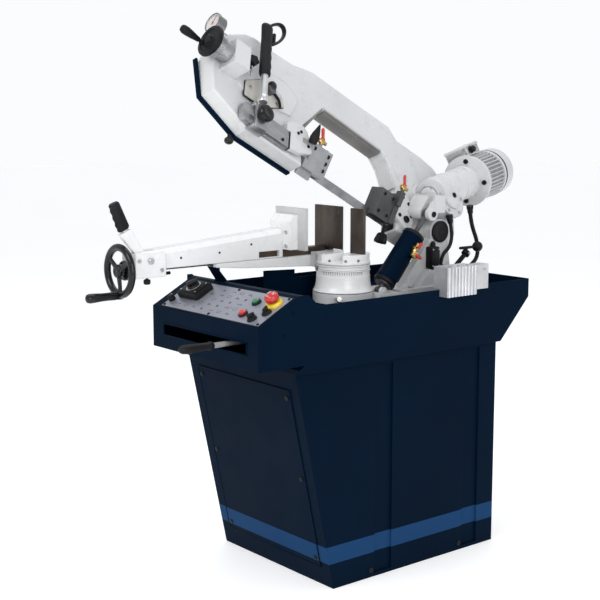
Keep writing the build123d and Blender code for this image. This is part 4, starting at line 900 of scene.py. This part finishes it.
def cylinder_details():
    """Sleeve, end bands and wiper of the feed cylinder, with its brass flow valve and knob."""
    base = along(WORLD, CYL_LOW, CYL_WAY)
    rings = [(30, 12), (30, 31.5), (33, 34.8), (44, 35.6), (50, 35.6), (51, 35.0), (214, 35.0), (215, 35.8),
        (224, 35.8), (227, 33), (227, 12)]
    bm = bmesh.new()
    lathe_into(bm, rings, segments=64)
    boss = base.inverted() @ along(WORLD, CYL_SIDE + Vector((32.5, 0, 0)), (1, 0, 0))
    lathe_into(bm, [(0, 0), (0, 11), (12, 11), (13.5, 9.5), (13.5, 0)], boss, segments=32)
    piece("cylinder_shell", bm, base, "cylinder", NAVY, replaced=("cylinder_cover",))
    bm = bmesh.new()
    for low, high in ((28, 40), (216, 229)):
        lathe_into(bm, [(low, 12), (low, 34.6), (low + 1.5, 36.6), (high - 1.5, 36.6), (high, 34.6),
            (high, 12)], segments=64)
    piece("cylinder_end_bands", bm, base, "cylinder", BLACK)
    lathe("rod_wiper", [(228, 8.4), (228, 15), (232, 15), (235, 12), (235, 8.4)], base, "cylinder", BLACK,
        segments=40)
    valve = along(WORLD, CYL_SIDE + Vector((46.4, 0, 0)), (1, 0, 0))
    bm = bmesh.new()
    lathe_into(bm, [(0, 0), (0, 8), (5, 8), (5, 12.4), (7, 13), (12, 13), (17, 11), (17, 0)], segments=40,
        lobes=18, depth=0.06)
    piece("flow_knob", bm, valve, "flow_knob", BRASS, replaced=("downfeed_knob",))
    bm = bmesh.new()
    plate_into(bm, ((0, -4), (20, -6.5), (27, 0), (20, 6.5), (0, 4)), 17.2, 21, spin(-30), 1.0)
    piece("flow_knob_lever", bm, valve, "flow_knob", RED)
    bm = bmesh.new()
    tee = CYL_SIDE + CYL_WAY * 26 + Vector((36, 0, 0))
    branch = [(0, 0), (0, 8.5), (12, 8.5), (12, 6), (16, 6), (16, 0)]
    run = [(0, 0), (0, 5.5), (5, 7), (10, 7), (14, 6), (22, 6), (24, 7.5), (31, 7.5), (31, 0)]
    for start, way, profile in (
        (tee - Vector((2, 0, 0)), (1, 0, 0), branch),
        (tee + Vector((8, 0, 0)) - CYL_WAY * 14, CYL_WAY, run),
    ):
        lathe_into(bm, profile, local(WORLD, start, way), segments=6)
    piece("flow_valve_body", bm, WORLD, "cylinder", BRASS)
    bm = bmesh.new()
    plate_into(bm, ((0, -4), (20, -6.5), (26, 0), (20, 6.5), (0, 4)), 0, 3.6, spin(40), 1.0)
    piece("flow_shutoff", bm, along(WORLD, tee + Vector((17, 0, 0)), (1, 0, 0)), "cylinder", RED)


def switch_details():
    """Limit switch box with its glands, and the depth stop rod."""
    bm = bmesh.new()
    plate_into(bm, rect(297, 337, 906, 977), 72.2, 96, TO_YZ, 3.5)
    plate_into(bm, rect(299, 335, 909, 974), 96, 101.5, TO_YZ, 2.0)
    lathe_into(bm, [(0, 0), (0, 9), (12, 9), (14, 6), (18, 6), (18, 0)],
        local(WORLD, (86, 317, 976), (0, 0, 1)), segments=32)
    piece("limit_box", bm, WORLD, "swivel_column", BLACK, "navy_paint", replaced=("limit_switch",))
    screws("limit_box_screws", [((101.5, y, z), (1, 0, 0)) for y in (304, 330) for z in (914, 969)], 2.6,
        1.2, "swivel_column", STEEL)
    bm = bmesh.new()
    lathe_into(bm, [(880, 0), (880, 14), (896, 14), (896, 12), (903, 12), (903, 14.5), (909, 14.5),
        (915, 9), (915, 0)], Matrix.Translation((88, 352, 0)), segments=6)
    piece("cable_gland", bm, WORLD, "swivel_column", BLACK)
    bm = bmesh.new()
    lathe_into(bm, [(868, 0), (868, 8), (884, 9), (892, 12), (900, 12), (905, 8), (905, 0)],
        Matrix.Translation((86, 317, 0)), segments=28)
    piece("limit_box_gland", bm, WORLD, "swivel_column", STEEL)
    bm = bmesh.new()
    lathe_into(bm, [(0, 0), (0, 8), (98, 8), (98, 0)], local(WORLD, (84, 398, 881.5), (0, 80, 63)),
        segments=28)
    lathe_into(bm, [(0, 0), (0, 12), (2, 14.5), (14, 14.5), (16, 12), (16, 0)],
        local(WORLD, (84, 470, 938), (0, 12, 10)), segments=32)
    lathe_into(bm, [(0, 0), (0, 6), (20, 6), (20, 0)], local(WORLD, (84, 476, 943), (0, 2, 19)),
        segments=24)
    lathe_into(bm, [(0, 0), (0, 4.2), (2, 5), (74, 5), (76, 4), (76, 0)],
        local(WORLD, (84, 446, 962), (0, 1, 0)), segments=24)
    ball = [(18 - 18 * cos(pi * i / 20), 18 * sin(pi * i / 20)) for i in range(21)]
    lathe_into(bm, [(0, 0), *ball[1:-1], (36, 0)], local(WORLD, (84, 514, 962), (0, 1, 0)), segments=40)
    piece("depth_stop", bm, WORLD, "swivel_column", BLACK, "ground_steel", replaced=("stop_rod",))
    screws("depth_stop_screw", [((98, 476, 944), (1, 0, 0))], 5, 4, "swivel_column", STEEL)


SWITCH_ROUTE = ((88, 392, 1062), (90, 398, 1030), (92, 399, 998), (93, 386, 968), (90, 356, 948),
    (88, 352, 915.9))
MOTOR_ROUTE = ((58, 520, 1085), (56, 526, 1055), (52, 542, 1020), (50, 562, 985), (50, 572, 952),
    (56, 562, 922), (68, 530, 904), (77, 484, 888), (82, 458, 862), (85, 438, 838), (86, 411.4, 834.5))


def cable(name, route, radius, node=None):
    """A sheathed cable from the saw head down to the column."""
    curve, carrier = smooth_line(name, [[c * MM for c in spot] for spot in route], 12)
    line = bpy.data.meshes.new_from_object(carrier)
    path = [v.co.copy() for v in line.vertices]
    curve.bevel_depth = radius * MM
    mesh = bpy.data.meshes.new_from_object(carrier)
    bpy.data.objects.remove(carrier)
    bpy.data.meshes.remove(line)
    mesh.shade_smooth()
    mesh.materials.clear()
    mesh.materials.append(RUBBER)
    obj = bpy.data.objects.new(name, mesh)
    bpy.context.collection.objects.link(obj)
    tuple(path[0])
    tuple(path[-1])
    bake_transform(obj)
    if node:
        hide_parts(node)
    length = sum((b - a).length for a, b in zip(path, path[1:]))
    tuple(path[0])
    [tuple(p) for p in path]


def cables():
    """Both cables, and the glands at their ends."""
    cable("switch_cable", SWITCH_ROUTE, 6, "head_cables")
    cable("motor_cable", MOTOR_ROUTE, 7)
    for name, spot, way, body, radius in (
        ("motor_cable_gland", MOTOR_ROUTE[0], (-2, 6, -30), "saw_head", 10),
        ("switch_cable_gland", SWITCH_ROUTE[0], (2, 6, -32), "saw_head", 9),
        ("column_cable_gland", MOTOR_ROUTE[-1], (-1, 26, 3.5), "swivel_column", 10),
    ):
        lathe(name, [(-16, 0), (-16, radius + 3), (-5, radius + 3), (-5, radius + 1), (6, radius + 1),
            (14, radius - 1.5), (14, 0)], along(WORLD, spot, way), body, BLACK,
            segments=6 if "motor" in name else 28)


# ---- control panel (x to the right, a up the slope; the film and the ink on it are thin layers)
STOP, START, SELECTOR_A, SELECTOR_B = (176, 42), (172, 100), (232, 30), (258, 66)
ESTOP, SPEED, SMALL_DIAL = (246, 108), (-120, 92), (-184, 40)
BUTTONS = STOP, START, SELECTOR_A, SELECTOR_B
FILM_TOP, INK_TOP, INK_WIDE = 1.5, 1.68, 0.8


def panel_spot(spot):
    return PANEL @ Matrix.Translation((*spot, 0))


def ink(bm, outline):
    plate_into(bm, outline, FILM_TOP, INK_TOP, soften=0)


def panel_controls():
    """Panel backing, printed marks without words, and every button, knob and collar."""
    dark_edge = ((-203, 5), (287, 5), (287, 149), (-203, 149))
    plate("panel_backing", dark_edge, 0.1, 0.9, PANEL, "stand", BLACK, soften=0)
    spots = [(-192, 14), (276, 14), (-192, 140), (276, 140), (40, 14), (40, 140)]
    screws("panel_screws", [((x, a, FILM_TOP), (0, 0, 1)) for x, a in spots], 4.4, 2, "stand", BLACK, PANEL)
    bm = bmesh.new()
    for row, a in enumerate((30, 54, 78, 102, 126)):
        for col in range(7):
            x = -148 + col * 42 + (7 if row % 2 else 0)
            if x < -60 and a > 50:  # the switch box stands here
                continue
            kind = (row * 3 + col) % 4  # arrow, box, three bars or circle
            if kind == 0:
                ink(bm, rect(x, x + 17, a, a + 1.1))
                ink(bm, ((x + 17, a - 2.2), (x + 21, a + 0.5), (x + 17, a + 3.2)))
            elif kind == 1:
                frame_marks(bm, x, a - 4, 15, 9)
            elif kind == 2:
                for k in range(3):
                    ink(bm, rect(x, x + 19 - 4 * k, a - 3 + 3 * k, a - 2.1 + 3 * k))
            else:
                dot = [(FILM_TOP, 3.4), (FILM_TOP, 4.4), (INK_TOP, 4.4), (INK_TOP, 3.4), (FILM_TOP, 3.4)]
                lathe_into(bm, dot, Matrix.Translation((x + 6, a, 0)), segments=20)
    for x, a in BUTTONS:
        frame_marks(bm, x - 20, a + 17, 12, 6)
    piece("panel_marks", bm, PANEL, "stand", BLACK, smooth=20)
    bm = bmesh.new()
    for x, a in BUTTONS:
        lathe_into(bm, [(FILM_TOP, 11.9), (FILM_TOP, 15), (3.4, 15.4), (5, 15), (6.6, 13.6), (6.6, 11.9)],
            Matrix.Translation((x, a, 0)), segments=48)
    plate_into(bm, ((-170, 56), (-164, 56), (-76, 56), (-70, 62), (-70, 122), (-76, 128), (-164, 128),
        (-170, 122), (-170, 62)), FILM_TOP, 22, soften=3)
    plate_into(bm, rect(-163, -77, 63, 121), 21, 26, soften=2.5)
    piece("button_bezels", bm, PANEL, "stand", BLACK, replaced=("button_collars",))
    screws("switch_box_screws", [((x, a, 26), (0, 0, 1)) for x in (-157, -83) for a in (69, 115)], 3, 1.2,
        "stand", STEEL, PANEL)
    lathe("switch_box_dial", [(26, 0), (26, 24), (26.7, 24), (26.7, 0)], panel_spot(SPEED), "stand",
        ALUMINIUM, "aluminium", segments=56)
    bm = bmesh.new()
    lathe_into(bm, [(27, 0), (27, 20), (29, 20.5), (31, 19), (33, 17.5), (34, 0)], segments=48, lobes=16,
        depth=0.03)
    plate_into(bm, ((-5, -17), (5, -17), (5.5, 10), (3, 19), (-3, 19), (-5.5, 10)), 32, 46, soften=2)
    bm.transform(spin(-38))
    piece("speed_knob", bm, panel_spot(SPEED), "speed_switch", GLOSS_BLACK, replaced=("switch_knob",))
    bm = bmesh.new()
    lathe_into(bm, [(1.6, 0), (1.6, 11), (5, 11.4), (14, 10.4), (18, 9.6), (20, 7), (20, 0)], segments=40,
        lobes=14, depth=0.05)
    piece("dial_knob", bm, panel_spot(SMALL_DIAL), "dial_knob", BLACK, replaced=("small_knob",))
    plate("dial_mark", rect(-0.6, 0.6, 2, 8), 20.0, 20.4, panel_spot(SMALL_DIAL), "dial_knob", DIAL,
        "black_plastic", soften=0)
    cap = [(6.2, 0), (6.2, 10.9), (11, 11.2), (12.6, 10), (13.6, 7), (14, 0)]
    lathe("stop_cap", cap, panel_spot(STOP), "stop_button", RED, replaced=("stop_button",))
    lathe("start_cap", cap, panel_spot(START), "start_button", GREEN, "green_plastic",
        replaced=("start_button",))
    for name, spot, turn in (("selector_a", SELECTOR_A, -25), ("selector_b", SELECTOR_B, 20)):
        bm = bmesh.new()
        lathe_into(bm, [(4, 0), (4, 11), (8, 11.4), (10, 10), (10.5, 0)], segments=40)
        plate_into(bm, ((-3.2, -11), (3.2, -11), (4.2, 0), (2.6, 12), (-2.6, 12), (-4.2, 0)), 9.5, 21,
            soften=1.6)
        bm.transform(spin(turn))
        piece(name + "_knob", bm, panel_spot(spot), name, BLACK, replaced=("selector_knob_" + name[-1],))
    lathe("estop_head", [(6.2, 0), (6.2, 9), (16.5, 9), (17, 19), (20, 20.6), (30, 20.6), (34, 18.5),
        (37, 14), (38.5, 7), (39, 0)], panel_spot(ESTOP), "estop_button", RED, segments=64,
        replaced=("estop_button",))
    bm = bmesh.new()
    for step in range(3):
        outer = [polar(13, k) for k in range(0, 70, 10)]
        inner = [polar(11, k) for k in range(60, -10, -10)]
        plate_into(bm, outer + inner, 36, 38.6, Matrix.Rotation(2 * pi * step / 3, 4, "Z"), 0)
    piece("estop_marks", bm, panel_spot(ESTOP), "estop_button", DIAL, "red_plastic")
    lathe("estop_plate", [(1.5, 12.2), (1.5, 26), (6, 26), (8, 24.5), (12, 23), (12, 12.2), (1.5, 12.2)],
        panel_spot(ESTOP), "stand", YELLOW, "yellow_plastic", segments=64, replaced=("estop_collar",))


def frame_marks(bm, x, a, wide, high):
    """A printed rectangle: bottom, top, left and right line."""
    for x0, x1, a0, a1 in ((x, x + wide, a, a + INK_WIDE), (x, x + wide, a + high, a + high + INK_WIDE),
            (x, x + INK_WIDE, a, a + high), (x + wide, x + wide + INK_WIDE, a, a + high + INK_WIDE)):
        ink(bm, rect(x0, x1, a0, a1))


# ---- stand, lock lever and work rest
def stand_details():
    """Plugs and bolts of cabinet and control box, the front panel's fold, and the lip of the lever slot."""
    sides = [((side * 274, y, 23), (side, 0, 0)) for side in (-1, 1) for y in (-120, 266)]
    screws("side_plugs", sides, 8, 3, "stand", BLACK, slot="navy_paint")
    screws("panel_bolts", [((x, a, 1.8), (0, 0, 1)) for x in (-215, 215) for a in (90, 350, 610)], 7, 3,
        "stand", BLACK, FRONT, slot="navy_paint")
    bm = bmesh.new()
    for edges in ((-232, 232, 62, 65.5), (-232, 232, 634.5, 638), (-233.5, -230, 62, 638),
            (230, 233.5, 62, 638)):
        plate_into(bm, rect(*edges), 0.4, 3.0, soften=0.8)
    piece("service_panel_fold", bm, FRONT, "stand", NAVY)
    bm = bmesh.new()
    for edges in ((-184, 242, 744.5, 748), (-184, 242, 780, 783.5), (-184, -180.2, 744.5, 783.5),
            (238.2, 242, 744.5, 783.5)):
        plate_into(bm, rect(*edges), 563.6, 566, TO_XZ, 0.8)
    piece("slot_lip", bm, WORLD, "stand", NAVY)
    screws("box_side_plugs", [((294, y, z), (1, 0, 0)) for y, z in ((-470, 800), (-440, 860))], 5, 1.6,
        "stand", NAVY)


def lock_lever():
    """Hub and bar of the swivel lock with a moulded grip."""
    bm = bmesh.new()
    lathe_into(bm, [(0, 0), (0, 18), (2, 20), (34, 20), (36, 18), (36, 0)],
        local(WORLD, (130, -60, 745), (0, 0, 1)), segments=48)
    lathe_into(bm, [(0, 0), (0, 8), (526, 8), (526, 0)], local(WORLD, (130, -76, 763), (0, -1, 0)),
        segments=28)
    profile = [(0, 0), (0, 11), (4, 13), (14, 13), (18, 11.4), (40, 12), (70, 13.2), (92, 13.6), (104, 12),
        (113, 7), (114, 0)]
    grip = bmesh.new()
    lathe_into(grip, profile, local(WORLD, (130, -602, 763), (0, -1, 0)), segments=40, lobes=6, depth=0.05)
    piece("lock_grip", grip, WORLD, "swivel_lock", BLACK)
    piece("lock_bar", bm, WORLD, "swivel_lock", GREY, replaced=("swivel_lock_lever",))


def rest_details():
    """Dark holes and side screws of the work rest."""
    bm = bmesh.new()
    for y in (160, 200, 240):
        lathe_into(bm, [(943.6, 0), (943.6, 4), (944.6, 4), (944.6, 0)], Matrix.Translation((312, y, 0)),
            segments=24)
    piece("rest_holes", bm, WORLD, "stand", HOLE, "aluminium")
    screws("rest_screws", [((308.4, y, 922), (1, 0, 0)) for y in (290, 326)], 5, 3, "stand", STEEL)


# ---- vice
VICE_X, WHEEL_Y, SCREW_Z, CRANK_DROP = -119, -752, 963, 71


def smooth_ring(bm, major, minor, segments=72, sides=18):
    """A torus, a tenth flatter along its axis."""
    rings = []
    for step in range(segments):
        angle = 2 * pi * step / segments
        ring = []
        for turn in (2 * pi * i / sides for i in range(sides)):
            reach = major + minor * cos(turn)
            spot = Vector((reach * cos(angle), reach * sin(angle), minor * 0.9 * sin(turn)))
            ring.append(bm.verts.new(spot))
        rings.append(ring)
    for step in range(segments):
        a, b = rings[step], rings[(step + 1) % segments]
        for i in range(sides):
            j = (i + 1) % sides
            bm.faces.new((a[i], b[i], b[j], a[j]))


def vice_wheel():
    """Three-spoke moulded handwheel with its hub, rim boss, crank pin and collar."""
    base = along(WORLD, (VICE_X, WHEEL_Y, SCREW_Z), (0, -1, 0))
    bm = bmesh.new()
    smooth_ring(bm, 68.6, 11.3)
    lathe_into(bm, [(-9.5, 0), (-9.5, 17), (-6, 20), (8, 20), (12, 18), (14, 14), (14, 9), (12.5, 8),
        (12.5, 0)], segments=40)
    down = base.inverted() @ Vector((VICE_X * MM, WHEEL_Y * MM, (SCREW_Z - CRANK_DROP) * MM))
    first = atan2(down.y, down.x)
    spoke = ((12, 12, 6.5, 3), (24, 9.5, 5.5, 2), (44, 8, 5, 0), (60, 9, 5, 0), (69, 12, 5.5, 0))
    oval = [2 * pi * i / 14 for i in range(14)]
    for turn in range(3):
        sections = []
        place = Matrix.Rotation(first + 2 * pi * turn / 3, 4, "Z")
        for reach, half, thick, lift in spoke:
            sections.append([bm.verts.new(place @ Vector((reach, half * cos(a), lift + thick * sin(a))))
                for a in oval])
        loft(bm, sections)
    boss = Matrix.Translation(down)
    lathe_into(bm, [(-8, 0), (-8, 10), (-5, 12.5), (8, 12.5), (10, 11), (10, 6), (11, 5), (106, 5),
        (106, 0)], boss, segments=32)
    collar = Matrix.Translation((0, 0, -31))
    lathe_into(bm, [(0, 0), (0, 27), (2, 29), (18, 29), (20.5, 27), (20.5, 22), (21, 20), (21, 0)], collar,
        segments=56)
    piece("vice_wheel", bm, base, "screw", GLOSS_BLACK, smooth=40, replaced=("vice_handwheel",))
    profile = [(0, 0), (0, 10), (2, 12), (8, 12.6), (30, 11.8), (52, 12.2), (76, 14), (90, 14.2), (97, 12),
        (100.5, 7), (101, 0)]
    lathe("crank_grip", profile, along(WORLD, (VICE_X, WHEEL_Y - 11, SCREW_Z - CRANK_DROP), (0, -1, 0)),
        "crank_handle", GLOSS_BLACK, segments=36, replaced=("handwheel_handle",))


def clamp_grip():
    """Finger grip on the quick-clamp lever."""
    low, high = Vector((-735.5, 1081)), Vector((-769, 1160))
    way = (high - low).normalized()
    side = Vector((way.y, -way.x))
    bm = bmesh.new()
    rings = []
    steps, sides, dents, rounded = 32, 32, 4, 0.06
    for step in range(steps + 1):
        share = step / steps
        middle = low + (high - low) * share
        half = 21.5 - 3.5 * share
        front = half - 2.6 * (0.5 - 0.5 * cos(2 * pi * dents * share))
        depth = 12.5
        end = min(share, 1 - share)
        if end < rounded:
            k = 0.78 + 0.22 * end / rounded
            half, front, depth = half * k, front * k, depth * k
        ring = []
        for i in range(sides):
            a = 2 * pi * i / sides
            reach = (half if cos(a) > 0 else front) * cos(a)
            spot = middle + side * reach
            ring.append(bm.verts.new((VICE_X + depth * sin(a), spot.x, spot.y)))
        rings.append(ring)
    loft(bm, rings)
    piece("clamp_finger_grip", bm, WORLD, "quick_clamp", BLACK, smooth=50, replaced=("quick_clamp_grip",))


def vice_details():
    """Plugs, screws and the pivot pin of the clamp arm, screws of the jaws, rod and knob under the arm."""
    screws("arm_side_plugs", [((-88.4, y, z), (1, 0, 0)) for y, z in ((-560, 990), (-420, 995),
        (-300, 1012))], 3.6, 1.2, "moving_vice", HOLE, slot="white_paint")
    screws("arm_end_screws", [((-82, y, z), (1, 0, 0)) for y, z in ((-708, 992), (-632, 960))], 6, 4,
        "moving_vice", STEEL)
    screws("pad_screws", [((x, -176.2, z), (0, -1, 0)) for x in (-132, -70) for z in (1000, 1044)], 6, 4,
        "moving_vice", STEEL)
    screws("jaw_screws", [((x, 22.2, z), (0, 1, 0)) for x, z in ((-130, 1000), (-110, 1000), (36, 1000),
        (66, 1000))], 6, 4, "stand", STEEL)
    lathe("arm_pivot_pin", [(0, 0), (0, 8.5), (4, 9.5), (10, 9.5), (12, 8), (12, 0)],
        along(WORLD, (-82, -672, 990), (1, 0, 0)), "moving_vice", STEEL, segments=32)
    tube("under_rod", [(VICE_X + 6, -656, 944), (VICE_X + 6, -636, 944), (VICE_X + 6, -616, 944),
        (VICE_X + 6, -584, 945)], 5, WORLD, "moving_vice", BLACK)
    lathe("under_knob", [(0, 0), (0, 4), (12, 4), (12, 8), (14, 10.5), (24, 10.5), (27, 8), (27, 0)],
        along(WORLD, (-100, -672, 946), (0, 0, -1)), "moving_vice", BLACK, segments=32, lobes=8, depth=0.06)


look()
studio()
tension_group()
control_handle()
cover_strip()
wing_knob()
carriage()
blade_guides()
tap("front_tap", (-552, 104, 18), "guide_carrier")
tap("rear_tap", (-182, 132, 32), "saw_head")
vice_wheel()
clamp_grip()
vice_details()
guide_arm()
beam_channel()
blade_teeth()
motor_details()
column_details()
cylinder_details()
switch_details()
cables()
panel_controls()
stand_details()
lock_lever()
rest_details()
